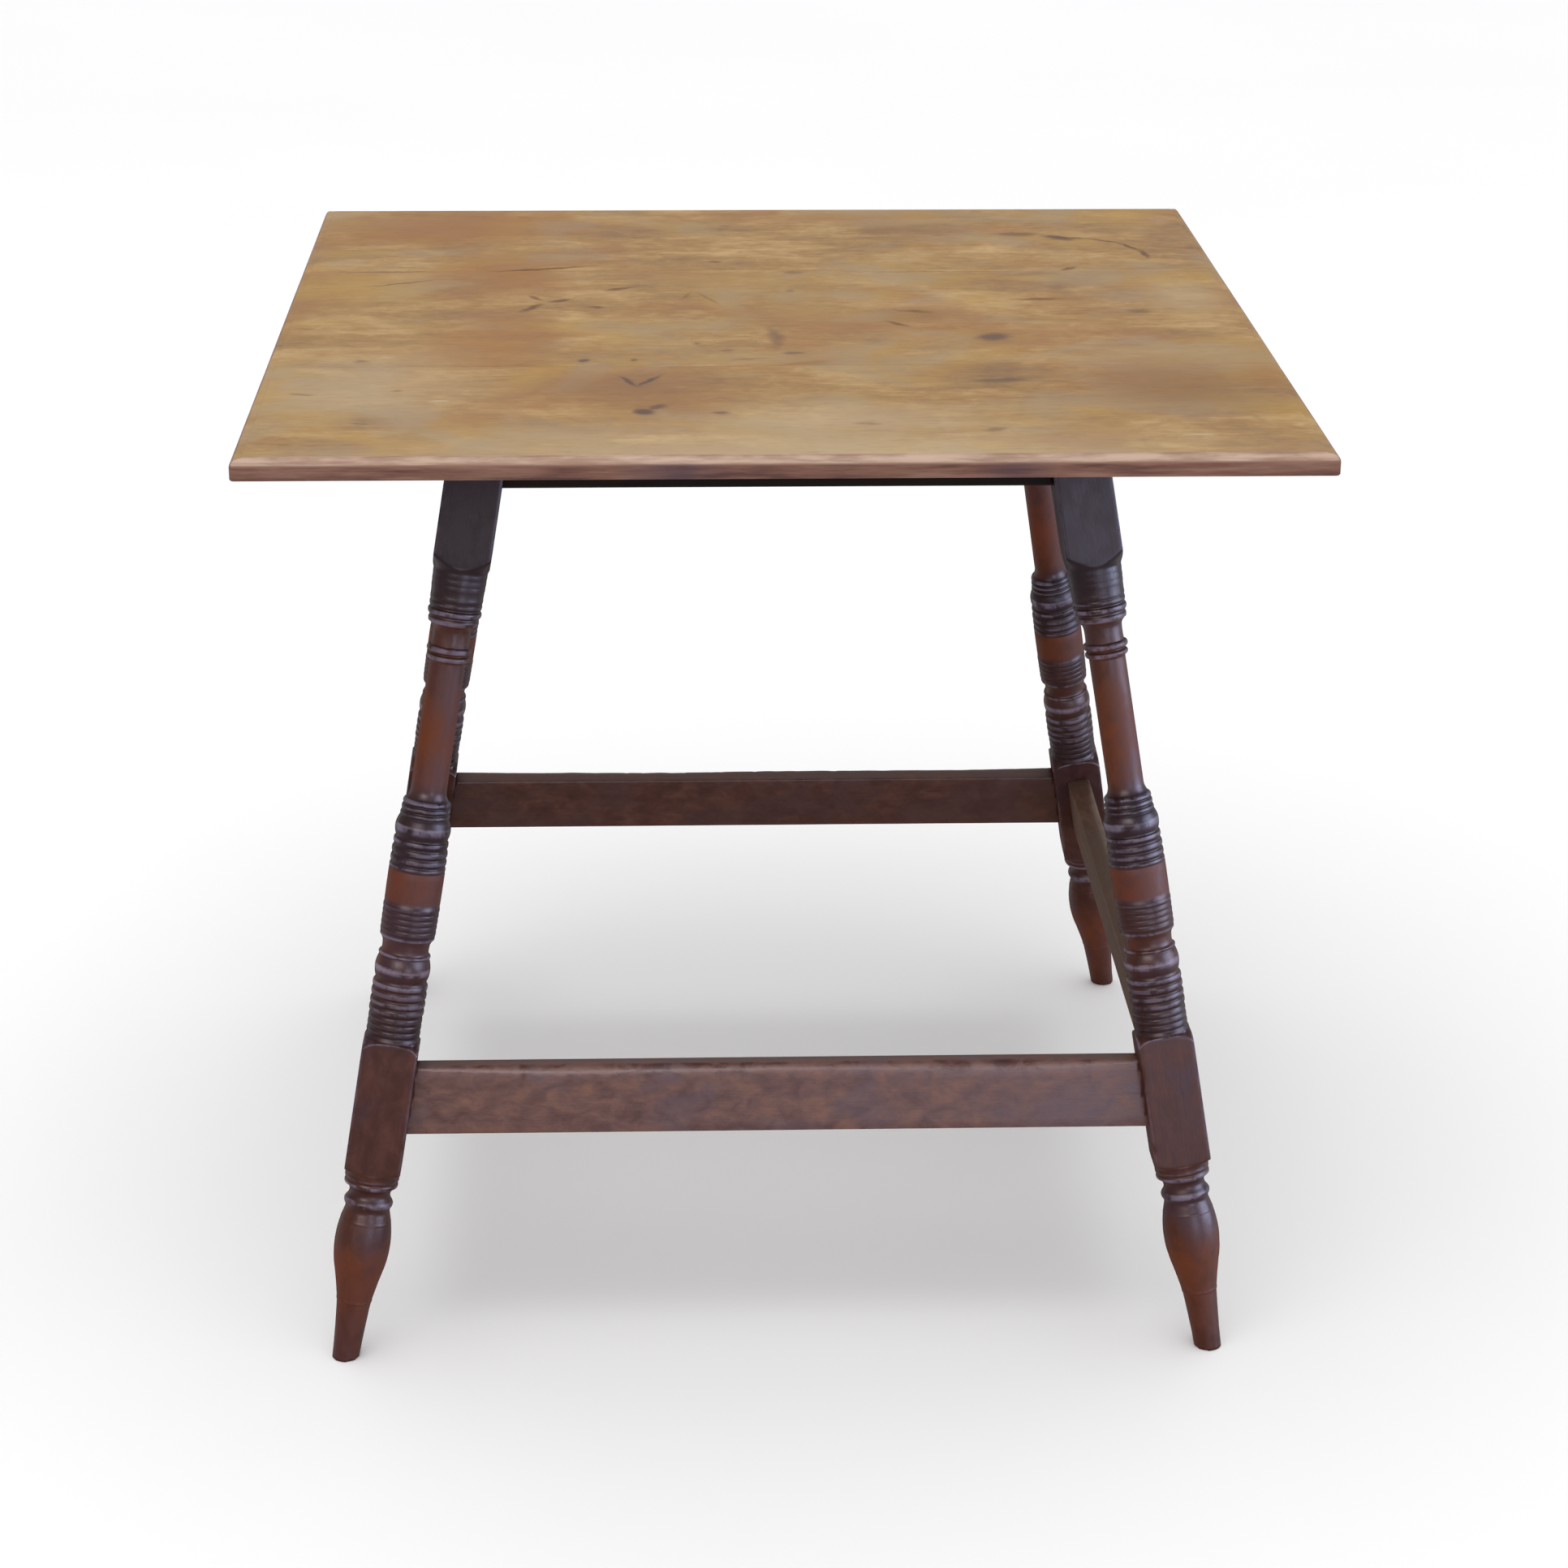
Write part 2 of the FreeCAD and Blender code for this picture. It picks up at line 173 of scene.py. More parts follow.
# %% Helpers for making a piece
PLANK_STEP = Vector((2.37, 0.61, 0.43))
SAW_TOUCHES = 0.01 * MM
FACTS = ("wear", "rubbed", "moulded", "edge", "under")
planks_sawn = []


class Piece:
    """A piece on the bench: its mesh in the making, and what each point remembers."""

    def __init__(self, name):
        self.name = name
        self.shape = bmesh.new()
        self.grain = self.shape.verts.layers.float_vector.new("grain")
        self.facts = {fact: self.shape.verts.layers.float.new(fact) for fact in FACTS}
        self.sawn_from = PLANK_STEP * len(planks_sawn)
        planks_sawn.append(name)

    def point(self, place, along_grain, **facts):
        """A new point, where it lies in its plank, and its named numbers."""
        vert = self.shape.verts.new(place)
        vert[self.grain] = Vector(along_grain) + self.sawn_from
        for fact, value in facts.items():
            vert[self.facts[fact]] = value
        return vert

    def skin(self, rows, closed=True):
        """Quads between each row of points and the next."""
        for low, high in zip(rows, rows[1:]):
            count = len(low)
            for here in range(count if closed else count - 1):
                after = (here + 1) % count
                self.shape.faces.new((low[here], low[after], high[after], high[here]))

    def saw(self, place, normal):
        """Saw straight through and keep the side that the normal points away from."""
        geometry = self.shape.verts[:] + self.shape.edges[:] + self.shape.faces[:]
        cut = bmesh.ops.bisect_plane(
            self.shape,
            geom=geometry,
            dist=SAW_TOUCHES,
            plane_co=place,
            plane_no=normal,
            clear_outer=True,
        )
        rim = [item for item in cut["geom_cut"] if isinstance(item, bmesh.types.BMEdge)]
        bmesh.ops.contextual_create(self.shape, geom=rim)
        return rim

    def finish(self, slot, *stands_for):
        """Put the piece in the scene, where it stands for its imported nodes."""
        bmesh.ops.recalc_face_normals(self.shape, faces=self.shape.faces[:])
        mesh = bpy.data.meshes.new(self.name)
        self.shape.to_mesh(mesh)
        self.shape.free()
        mesh.shade_smooth()
        made = bpy.data.objects.new(self.name, mesh)
        bpy.context.scene.collection.objects.link(made)
        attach(made, "root")
        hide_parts(*stands_for)
        print(f"{self.name}: {len(mesh.polygons)} faces")
        return made


# %% [markdown]
# ## The legs' places
#
# Each leg leans outwards in two directions at once. Its middle line meets the floor 322.4 mm out
# from both centre planes and the underside of the top 207.8 mm out. One tilt about the diagonal does
# both, and keeps the square blocks facing the rails. The other three legs are quarter turns of it.

# %% Lay out the legs
UNDERSIDE = 696 * MM
LEG_FLOOR_OUT = 322.4 * MM
LEG_TOP_OUT = 207.8 * MM
SPLAY_RUN = LEG_FLOOR_OUT - LEG_TOP_OUT
SPLAY = math.atan2(SPLAY_RUN, UNDERSIDE)
TILT = math.atan2(SPLAY_RUN * math.sqrt(2), UNDERSIDE)
UP = Vector((0, 0, 1))

tilt_axis = Vector((-1, 1, 0)).normalized()
floor_corner = Matrix.Translation((-LEG_FLOOR_OUT, -LEG_FLOOR_OUT, 0))
LEG_FRAME = floor_corner @ Matrix.Rotation(TILT, 4, tilt_axis)


def quarter_turns(count):
    return Matrix.Rotation(RIGHT_ANGLE * count, 4, "Z")


def leg_out(height):
    """How far a leg's middle line stands from the centre planes at this height."""
    return LEG_FLOOR_OUT - SPLAY_RUN * height / UNDERSIDE


print(f"legs tilt {math.degrees(TILT):.1f} degrees along the diagonal")

# %% [markdown]
# ## Turning a leg
#
# A turner works from a rule: a stick with a mark at each height where the radius changes. The rule
# below is the same thing. A third number says how far the stretch that leads up to a mark swells
# out, or hollows in, from a straight cut. Fine rings are listed apart, as half rounds that stand
# proud of it. Between the marks the points are close only where the shape turns quickly.

# %% The turner's rule
FOOT_RULE = (
    (-6, 9.7, 0.0),
    (44, 12.7, -0.35),
    (72, 18.6, -0.3),
    (117, 16.4, 3.0),
    (119.5, 16.6, -0.1),
    (123.5, 18.1, 0.5),
    (125, 17.4, 0.2),
    (129.5, 15.2, -0.5),
    (133, 15.9, -0.3),
    (136.2, 19.2, -0.5),
    (143.5, 19.5, 0.0),
    (146.6, 20.3, 0.2),
)
SHAFT_RULE = (
    (249.6, 20.2, 0.0),
    (252.6, 19.4, -0.3),
    (293, 19.3, 0.0),
    (294, 18.4, 0.0),
    (311.6, 18.3, 1.9),
    (312.6, 17.6, 0.0),
    (315.2, 17.4, 0.0),
    (320.5, 17.2, -0.3),
    (327, 19.9, -0.8),
    (350, 20.2, 0.0),
    (377, 20.4, 0.1),
    (378, 19.8, 0.0),
    (400.2, 19.3, 0.0),
    (401.2, 18.6, 0.0),
    (416.4, 18.0, 1.9),
    (417, 17.2, 0.0),
    (429.4, 16.2, 0.0),
    (430.6, 15.1, 0.0),
    (438, 13.1, -0.6),
    (531.4, 13.2, 0.0),
    (544.6, 13.9, 0.0),
    (554.5, 13.9, -0.2),
    (560.4, 17.4, -0.9),
    (576, 18.6, 0.0),
    (599, 19.5, 0.1),
    (600.6, 20.1, 0.0),
)
# Half-round rings: height of the middle, width, and how far each stands proud.
FOOT_RINGS = (
    (45.5, 2.4, 0.25),
    (109, 2.0, 0.12),
    (137.6, 3.0, 0.6),
    (142.4, 3.4, 0.6),
)
SHAFT_RINGS = (
    (250.6, 2.8, 0.4),
    (255.2, 3.6, 0.3),
    (260.2, 3.8, 0.32),
    (265.2, 4.0, 0.35),
    (271.5, 4.8, 0.8),
    (277.3, 4.8, 0.85),
    (284.1, 5.4, 0.9),
    (290.3, 4.8, 0.85),
    (313.6, 2.6, 1.5),
    (331.6, 3.6, 0.3),
    (336.0, 3.6, 0.3),
    (340.4, 3.6, 0.3),
    (344.8, 3.6, 0.3),
    (349.2, 3.8, 0.4),
    (379.6, 3.6, 0.7),
    (385.2, 4.8, 0.8),
    (391.5, 5.0, 0.85),
    (398.4, 4.2, 0.7),
    (418.6, 3.8, 0.9),
    (423.4, 4.0, 0.9),
    (427.8, 3.4, 0.9),
    (535.2, 4.6, 2.3),
    (541.2, 5.4, 2.6),
    (562.2, 4.2, 0.7),
    (568.4, 4.8, 1.3),
    (574.0, 3.6, 0.45),
    (578.6, 3.4, 0.24),
    (587.0, 3.4, 0.13),
    (591.2, 3.4, 0.12),
    (596.4, 3.0, 0.1),
)
# Where the rows over a ring lie, in half widths from its middle.
RING_ROWS = (-1, -0.93, -0.75, -0.42, 0, 0.42, 0.75, 0.93, 1)


def turned_radius(height, rule, rings):
    """The radius that the turner leaves at this height, in millimetres."""
    radius = rule[-1][1]
    for (low, low_radius, _), (high, high_radius, swell) in zip(rule, rule[1:]):
        if low <= height <= high:
            share = (height - low) / (high - low)
            straight = low_radius + (high_radius - low_radius) * share
            radius = straight + swell * 4 * share * (1 - share)
            break
    for middle, width, proud in rings:
        across = abs(height - middle) / (width / 2)
        if across < 1:
            radius += proud * math.sqrt(1 - across * across)
    return radius


def turning_heights(rule, rings):
    """Heights to put a row of points at: at each mark, along each curve and over each ring."""
    straight_step, curved_step = 6.0, 1.6
    curved, too_close = 0.15, 0.12
    heights = set()
    for (low, _, _), (high, _, swell) in zip(rule, rule[1:]):
        steps = math.ceil((high - low) / (curved_step if abs(swell) > curved else straight_step))
        heights.update(low + (high - low) * step / steps for step in range(steps + 1))
    for middle, width, _ in rings:
        heights.update(middle + width / 2 * across for across in RING_ROWS)
    kept = []
    for height in sorted(heights):
        if not kept or height - kept[-1] > too_close:
            kept.append(height)
    return kept


print("rows on the shaft:", len(turning_heights(SHAFT_RULE, SHAFT_RINGS)))

# %% [markdown]
# ## Square blocks with arched shoulders
#
# Where a rail joins the leg, the blank stays square. The lathe's cone runs out into its flat faces,
# and each face ends in an arch: that arch is simply where the cone and the face meet. So a column of
# points at each angle round the leg works out its own height on that line. The rows of the mesh then
# follow the arches, and the line stays as crisp as a chisel leaves it. Columns stand closer together
# at the corners, to round them slightly.

# %% Square the blocks
BLOCK_HALF = 20.5
BLOCK_NOSE = 1.3
CORNER_RADIUS = BLOCK_HALF * math.sqrt(2)
# How far along each row lies: on the shoulder, out to the arch, and on the flat, away from it.
SHOULDER_SHARES = (0.3, 0.6, 0.85, 1.0)
FLAT_SHARES = (0.015, 0.05, 0.12, 0.22, 0.34, 0.48, 0.64, 0.82, 1.0)
ARCH_SOFTENED = 0.16
NEAR_CORNER, CORNER_WEAR = 0.945, 0.45


def square_radius(angle):
    """From the leg's middle line to the side of the block, with its arris slightly rounded."""
    near, far = sorted((abs(math.cos(angle)), abs(math.sin(angle))))
    core = BLOCK_HALF - BLOCK_NOSE
    if BLOCK_HALF * near / far <= core:
        return BLOCK_HALF / far
    return core * (near + far) + math.sqrt(BLOCK_NOSE**2 - core**2 * (far - near) ** 2)


def column_angles():
    """Angles round the leg, closer together at the four corners of the blocks."""
    steps = 9
    flat_edge = BLOCK_HALF - BLOCK_NOSE
    octant = [math.atan2(flat_edge * step / steps, BLOCK_HALF) for step in range(steps + 1)]
    corner = RIGHT_ANGLE / 2
    octant.append((octant[-1] + corner) / 2)
    quadrant = octant + [corner] + [RIGHT_ANGLE - angle for angle in reversed(octant[1:])]
    return [angle + RIGHT_ANGLE * turn for turn in range(4) for angle in quadrant]


COLUMNS = column_angles()


class Arch:
    """The line where a shoulder meets the block's sides: its height at the middle of a side and at
    the corners, whether the shoulder is a quarter round, and how worn its arris is."""

    def __init__(self, apex, corner, rounded, worn):
        self.apex = apex
        self.corner = corner
        self.rounded = rounded
        self.worn = worn

    def height(self, angle):
        share = (square_radius(angle) - BLOCK_HALF) / (CORNER_RADIUS - BLOCK_HALF)
        if self.rounded:
            share = 1 - math.sqrt(max(0.0, 1 - share * share))
        return self.apex + (self.corner - self.apex) * share


def shoulder_rows(mark, arch):
    """Rows from a mark of the rule out to the arches."""
    start, start_radius, _ = mark
    rows = []
    for share in SHOULDER_SHARES:
        row = []
        for angle in COLUMNS:
            edge = arch.height(angle)
            softened = ARCH_SOFTENED if share == 1.0 else 0.0
            radius = start_radius + (square_radius(angle) - start_radius) * share - softened
            wear = arch.worn * share**2
            row.append((start + (edge - start) * share, radius, wear))
        rows.append(row)
    return rows


def block_rows(arch, level):
    """Rows on the flat faces, from the arches to a level line. The corners are a little worn."""
    rows = []
    for share in FLAT_SHARES:
        row = []
        for angle in COLUMNS:
            edge = arch.height(angle)
            side = square_radius(angle)
            wear = CORNER_WEAR if side / CORNER_RADIUS > NEAR_CORNER else 0.0
            row.append((edge + (level - edge) * share, side, wear))
        rows.append(row)
    return rows


def swelling(height, rule):
    """How far a large bead stands out from both what is above it and what is below it."""
    reach, slight, boldness, most = 8.5, 0.4, 1.7, 1.6
    if not rule[0][0] + reach < height < rule[-1][0] - reach:
        return 0.0
    below, here, above = (turned_radius(height + step, rule, ()) for step in (-reach, 0, reach))
    return max(0.0, min(most, (here - max(below, above) - slight) * boldness))


def turned_rows(rule, rings):
    """Rows round a turned stretch. Ridges are worn, and grooves hold dirt."""
    reach, boldness = 2.2, 1.4
    rows = []
    for height in turning_heights(rule, rings):
        radius = turned_radius(height, rule, rings)
        beside = turned_radius(height - reach, rule, rings) + turned_radius(height + reach, rule, rings)
        inside = rule[0][0] + reach < height < rule[-1][0] - reach
        wear = max(-1.0, min(1.0, (radius - beside / 2) * boldness)) if inside else 0.0
        # On a large bead the swelling lifts the wear above 1, where the finish paints a highlight on its
        # crown.
        wear = max(wear, swelling(height, rule))
        rows.append([(height, radius, wear)] * len(COLUMNS))
    return rows


LOW_ARCH = Arch(apex=147.6, corner=151.0, rounded=False, worn=0.3)
HIGH_ARCH = Arch(apex=248.3, corner=240.0, rounded=True, worn=1.0)
TOP_ARCH = Arch(apex=602.2, corner=610.5, rounded=False, worn=-0.4)
BLOCK_MIDDLE = 200
LEG_END = 722

leg_rows = turned_rows(FOOT_RULE, FOOT_RINGS)
leg_rows += shoulder_rows(FOOT_RULE[-1], LOW_ARCH)
leg_rows += block_rows(LOW_ARCH, BLOCK_MIDDLE)
leg_rows += block_rows(HIGH_ARCH, BLOCK_MIDDLE)[-2::-1]
leg_rows += shoulder_rows(SHAFT_RULE[0], HIGH_ARCH)[::-1]
leg_rows += turned_rows(SHAFT_RULE, SHAFT_RINGS)
leg_rows += shoulder_rows(SHAFT_RULE[-1], TOP_ARCH)
leg_rows += block_rows(TOP_ARCH, LEG_END)
print("points on one leg:", len(leg_rows) * len(COLUMNS))

# %% [markdown]
# ## Four legs from one rule
#
# All four legs share the rule, but no two came out of the same plank, and each has its own knocks.
# The stain has gone from the parts that hands and shoes rub: the long column, the plain band of the
# drum and the bulb of the foot are worn to a warm orange brown. The low blocks are still dark, and
# the top ones are painted nearly black: kept stain, darkened further as painted shade under the top.

# %% Turn the legs
# How far the stain is rubbed away, at heights up the leg: 1 is bare wood, below 0 is darkened.
# Towards the top block the darkening grows into painted shade under the table top.
RUBBED_AND_SHADED_RULE = (
    (-6, 0.3),
    (30, 0.35),
    (60, 0.6),
    (80, 0.62),
    (106, 0.0),
    (125, -0.3),
    (160, 0.05),
    (200, 0.1),
    (238, 0.1),
    (252, -0.45),
    (296, -0.3),
    (311, -0.1),
    (316, 0.2),
    (325, 0.2),
    (327, -0.3),
    (351, -0.3),
    (353, 0.55),
    (377, 0.6),
    (379, -0.4),
    (430, -0.5),
    (440, 0.45),
    (480, 0.7),
    (522, 0.35),
    (556, 0.1),
    (566, -0.4),
    (603, -0.6),
    (722, -0.8),
)
TOE_NOSE = 1.3
# Out of round and dented: how much, in millimetres, and how quickly each changes over the wood.
OUT_OF_ROUND, ROUND_CHANGES = 0.10, 0.03
DENT_DEPTH, DENT_CHANGES, DENTED_ABOVE = 0.9, 0.11, 0.32
# How much of the knocks shows everywhere, and how much more on an arris worn more than this.
KNOCKS_SHOW, ARRIS_SHOWS, ARRIS_FROM = 0.35, 0.5, 0.4


def read_rule(height, rule):
    """A value between the two nearest marks of a rule."""
    for (low, low_value), (high, high_value) in zip(rule, rule[1:]):
        if low <= height <= high:
            return low_value + (high_value - low_value) * (height - low) / (high - low)
    return rule[-1][1]


def knocks(place, number):
    """Small dents and flats, in millimetres, different on every leg."""
    seed = Vector((7.3, 1.9, 4.1)) * number
    out_of_round = OUT_OF_ROUND * noise.noise(Vector(place) * ROUND_CHANGES + seed)
    dented = noise.noise(Vector(place) * DENT_CHANGES + seed) - DENTED_ABOVE
    dents = max(0.0, dented) * DENT_DEPTH
    return out_of_round - dents


def turn_leg(name, turns):
    leg = Piece(f"turned_{name}")
    place = quarter_turns(turns) @ LEG_FRAME
    rows = []
    for row in leg_rows:
        points = []
        for angle, (height, radius, wear) in zip(COLUMNS, row):
            side = Vector((math.cos(angle), math.sin(angle), 0))
            rough = knocks(side * radius + UP * height, turns)
            arris = max(0.0, min(1.0, wear) - ARRIS_FROM) * ARRIS_SHOWS
            worn = radius + rough * (KNOCKS_SHOW + arris)
            spot = (side * worn + UP * height) * MM
            grain = (spot.z, spot.x, spot.y)
            rubbed = read_rule(height, RUBBED_AND_SHADED_RULE)
            points.append(leg.point(place @ spot, grain, wear=wear, rubbed=rubbed))
        rows.append(points)
    leg.skin(rows)
    leg.saw(UP * UNDERSIDE, UP)
    toe_rim = leg.saw(Vector(), -UP)
    bmesh.ops.bevel(
        leg.shape, geom=toe_rim, offset=TOE_NOSE * MM, segments=3, profile=0.5, affect="EDGES"
    )
    return leg.finish("leg_wood", name)


LEG_NAMES = ("leg_front_left", "leg_front_right", "leg_back_right", "leg_back_left")
legs = [turn_leg(name, turns) for turns, name in enumerate(LEG_NAMES)]

# %% [markdown]
# ## Rails
#
# A rail is a plank that leans back with the legs. It is made too long, as a joiner would, and sawn
# at both ends on the plane of the leg's inner face, so its shoulders close up although the legs
# splay two ways. The stretchers carry the clearest wear on the table: a century of shoes has rounded
# the upper outer arris, most in the middle and hardly at all near the legs, with small bruises in it.

# %% Plane and scribe the rails
RAIL_STEP = 3.0
HOLD_IN_LEG = 0.3
# Points between the corners of a section: along its top, outer face, foot and inner face.
SIDE_PIECES = (3, 7, 3, 7)
# A corner rounded more than this is worn through; the others are only rubbed.
WORN_NOSE, WORN_THROUGH, ONLY_RUBBED = 2.5, 1.0, 0.55
# How uneven a planed side is, in millimetres, and how quickly that changes over the wood.
UNEVEN, UNEVEN_CHANGES = 0.12, 0.02
RAIL_SEED_STEP = 5.7


def corner_arc(middle, nose, turn, points=5):
    """Points round one corner of a section: a quarter of an ellipse from this quarter turn on."""
    arc = []
    for step in range(points):
        angle = RIGHT_ANGLE * (turn + step / (points - 1))
        arc.append((middle[0] + nose[0] * math.cos(angle), middle[1] + nose[1] * math.sin(angle)))
    return arc


def rail_section(half_thick, low, high, noses):
    """A section as (out, up, wear) points. The four noses are (across, up) radii of its corners,
    from the inner top one round by the outer top one. The outer side is minus."""
    corners = []
    signs = ((1, 1), (-1, 1), (-1, -1), (1, -1))
    for turn, ((out, up), nose) in enumerate(zip(signs, noses)):
        level = high if up > 0 else low
        middle = (out * (half_thick - nose[0]), level - up * nose[1])
        wear = WORN_THROUGH if max(nose) > WORN_NOSE else ONLY_RUBBED
        arc = corner_arc(middle, nose, turn)
        wears = [wear / 2] + [wear] * (len(arc) - 2) + [wear / 2]
        corners.append([(x, z, worn) for (x, z), worn in zip(arc, wears)])
    section = []
    for arc, after, pieces in zip(corners, corners[1:] + corners[:1], SIDE_PIECES):
        section += arc
        (x, z, _), (next_x, next_z, _) = arc[-1], after[0]
        for step in range(1, pieces):
            share = step / pieces
            section.append((x + (next_x - x) * share, z + (next_z - z) * share, 0.0))
    return section


def make_rail(name, slot, turns, level, thick, low, high, noses_at):
    """A rail between two legs. Level is where it is placed; noses_at gives its worn corners."""
    rail = Piece(f"planed_{name}")
    lean = Matrix.Rotation(-SPLAY, 4, "X")
    place = Matrix.Translation((0, -leg_out(level * MM), level * MM)) @ lean
    reach = leg_out(level * MM) / MM
    count = math.ceil(2 * reach / RAIL_STEP)
    seed = Vector((0, RAIL_SEED_STEP * turns, level))
    rows = []
    for step in range(count + 1):
        along = -reach + 2 * reach * step / count
        points = []
        for out, up, wear in rail_section(thick / 2, low, high, noses_at(along, reach, seed)):
            spot = Vector((along, out, up))
            uneven = UNEVEN * noise.noise(spot * UNEVEN_CHANGES + seed)
            spot.y += math.copysign(uneven, out) if abs(out) > thick / 4 else 0
            grain = Vector((along, up, out)) * MM
            points.append(rail.point(place @ (spot * MM), grain, wear=wear, rubbed=0.0))
        rows.append(points)
    rail.skin(rows)
    rail.shape.faces.new(rows[0])
    rail.shape.faces.new(rows[-1])
    for frame_turns, inner in ((0, Vector((1, 0, 0))), (1, Vector((0, 1, 0)))):
        leg_place = quarter_turns(frame_turns) @ LEG_FRAME
        normal = (leg_place.to_3x3() @ inner).normalized()
        face = leg_place.translation + normal * (BLOCK_HALF - HOLD_IN_LEG) * MM
        rail.saw(face, -normal)
    rail.saw(UP * UNDERSIDE, UP)
    bmesh.ops.transform(rail.shape, matrix=quarter_turns(turns), verts=rail.shape.verts[:])
    return rail.finish(slot, name)


# No two stretchers were planed alike: each one's level and half its height.
STRETCHER_CUTS = {
    "front": (197.3, 25.5),
    "right": (198, 24.5),
    "back": (198.6, 23.6),
    "left": (198, 24.5),
}
STRETCHER_THICK = 19
APRON_LEVEL, APRON_THICK, APRON_HEIGHT = 642, 19, 60
# Radii of an arris, from one hardly touched to one well worn.
SOFT_ARRIS, EASED_ARRIS, HANDLED_ARRIS, WORN_ARRIS = (0.9, 0.9), (1.1, 1.1), (1.4, 1.4), (1.6, 1.6)
# Shoes don't reach this close to a leg, and rub fully this much further on.
SHOES_CLEAR, SHOES_FULL = 18, 70
BRUISED_ABOVE = 0.25
# The arris that shoes rub, across and down: least, full wear, how much that wavers slowly and
# quickly, and the depth of its bruises.
SHOE_WEAR = ((2.0, 4.2, 1.6, 0.8, 1.6), (2.0, 4.6, 1.8, 0.6, 1.2))


def shoe_worn(along, reach, seed):
    """The stretcher's corners: the upper outer one worn away unevenly by shoes."""

    def waver(quickness, row):
        """Noise along the arris, another one for each row."""
        return noise.noise(Vector((along * quickness, row, 0)) + seed)

    away_from_leg = min(1.0, max(0.0, (reach - SHOES_CLEAR - abs(along)) / SHOES_FULL))
    slow, quick = waver(0.012, 0), waver(0.07, 3)
    bruise = max(0.0, waver(0.21, 9) - BRUISED_ABOVE)
    rubbed = tuple(
        least + away_from_leg * (full + slowly * slow + quickly * quick) + bruised * bruise
        for least, full, slowly, quickly, bruised in SHOE_WEAR
    )
    return (WORN_ARRIS, rubbed, EASED_ARRIS, SOFT_ARRIS)


def hand_softened(along, reach, seed):
    """The apron's corners: its arrises only taken off with a stroke of the plane."""
    return (SOFT_ARRIS, SOFT_ARRIS, HANDLED_ARRIS, EASED_ARRIS)


SIDE_NAMES = ("front", "right", "back", "left")
stretchers = []
aprons = []
for turns, side in enumerate(SIDE_NAMES):
    level, half = STRETCHER_CUTS[side]
    stretchers.append(
        make_rail(f"stretcher_{side}", "rail_wood", turns, level, STRETCHER_THICK, -half, half, shoe_worn)
    )
    aprons.append(
        make_rail(
            f"apron_{side}", "rail_wood", turns, APRON_LEVEL, APRON_THICK, 0, APRON_HEIGHT, hand_softened
        )
    )

# %% [markdown]
# ## The top
#
# Three boards are glued edge to edge, and a thumbnail moulding is planed round the whole: from the
# outside a square edge, a quarter round, a narrow flat and a small step up to the face. Each board
# is a grid of points, close together at the moulding and further apart inside. The distance to the
# nearest moulded edge gives each point its height. At the corners that makes a true mitre, and the
# outermost few millimetres are then pulled in, as a corner wears.

# %% Plane the boards
TOP_WIDTH, TOP_DEPTH, TOP_THICK = 737, 762, 15
FRONT_BOARD, REAR_BOARD = 236, 229
ROUND_RADIUS = 5.0
QUIRK_IN, QUIRK_STEP = 8.0, 1.0
QUIRK_SOFTENED, QUIRK_FADES = 0.28, 0.4
CORNER_WORN = 3.4
LOWER_ARRIS = 1.1
MOULD_LINES = (0, 0.3, 0.8, 1.5, 2.3, 3.2, 4.1, 5.0, 6.4, 7.9, 8.1, 8.5, 9.4, 11)
JOINT_LINES = (0, 0.2, 0.5, 1.2, 4, 10)
BOARD_STEP = 9.0
WALL_HEIGHTS = (7.0, 4.0)
# The face dips towards a joint, with a fine groove along the glue: how deep and how wide.
JOINT_DIP, DIP_REACH = 0.22, 35
JOINT_GROOVE, GROOVE_REACH = 0.25, 0.25
# The plane leaves the face a little uneven: how deep, and how quickly that changes in X and Y.
PLANING, PLANING_CHANGES = 0.1, (0.004, 0.012)
# How pale the moulding is painted at the front and back, and how far in from the edge: rubbed wear
# and a painted highlight where its round catches the light.
MOULDING_WEAR_AND_HIGHLIGHT, PALE_WITHIN = 0.9, QUIRK_IN + 0.2
# The red edge, at front and back and at the sides: how red at most, and over how far it fades.
# At the sides it reaches in over the round, as painted shade.
FRONT_RED, SIDE_RED_AND_SHADE = (0.6, 1.2), (0.9, 4.0)


def mould_drop(inset):
    """How far the moulding lies below the face of the top, at this distance in from the edge."""
    if inset < ROUND_RADIUS:
        over = ROUND_RADIUS - inset
        return QUIRK_STEP + ROUND_RADIUS - math.sqrt(ROUND_RADIUS**2 - over**2)
    if inset < QUIRK_IN:
        return QUIRK_STEP
    return QUIRK_SOFTENED * math.exp(-(inset - QUIRK_IN) / QUIRK_FADES)


def face_drop(x, y, to_moulding, to_joint):
    """How far the upper side lies below full height: its moulding, joints and planing."""
    dip = JOINT_DIP * max(0.0, 1 - to_joint / DIP_REACH) ** 2
    groove = JOINT_GROOVE * math.exp(-to_joint / GROOVE_REACH)
    waver = noise.noise(Vector((x * PLANING_CHANGES[0], y * PLANING_CHANGES[1], 0)))
    return mould_drop(to_moulding) + (dip + groove) + PLANING * (1 + waver)


def lower_rise(inset):
    """The softened lower arris of the square edge."""
    return LOWER_ARRIS * max(0.0, 1 - inset / LOWER_ARRIS) ** 2


def grid_lines(low, high, low_lines, high_lines):
    """Places of the grid's lines from low to high, closer at both ends."""
    inner_low, inner_high = low + low_lines[-1], high - high_lines[-1]
    steps = round((inner_high - inner_low) / BOARD_STEP)
    inner = [inner_low + (inner_high - inner_low) * step / steps for step in range(1, steps)]
    return [low + line for line in low_lines] + inner + [high - line for line in reversed(high_lines)]


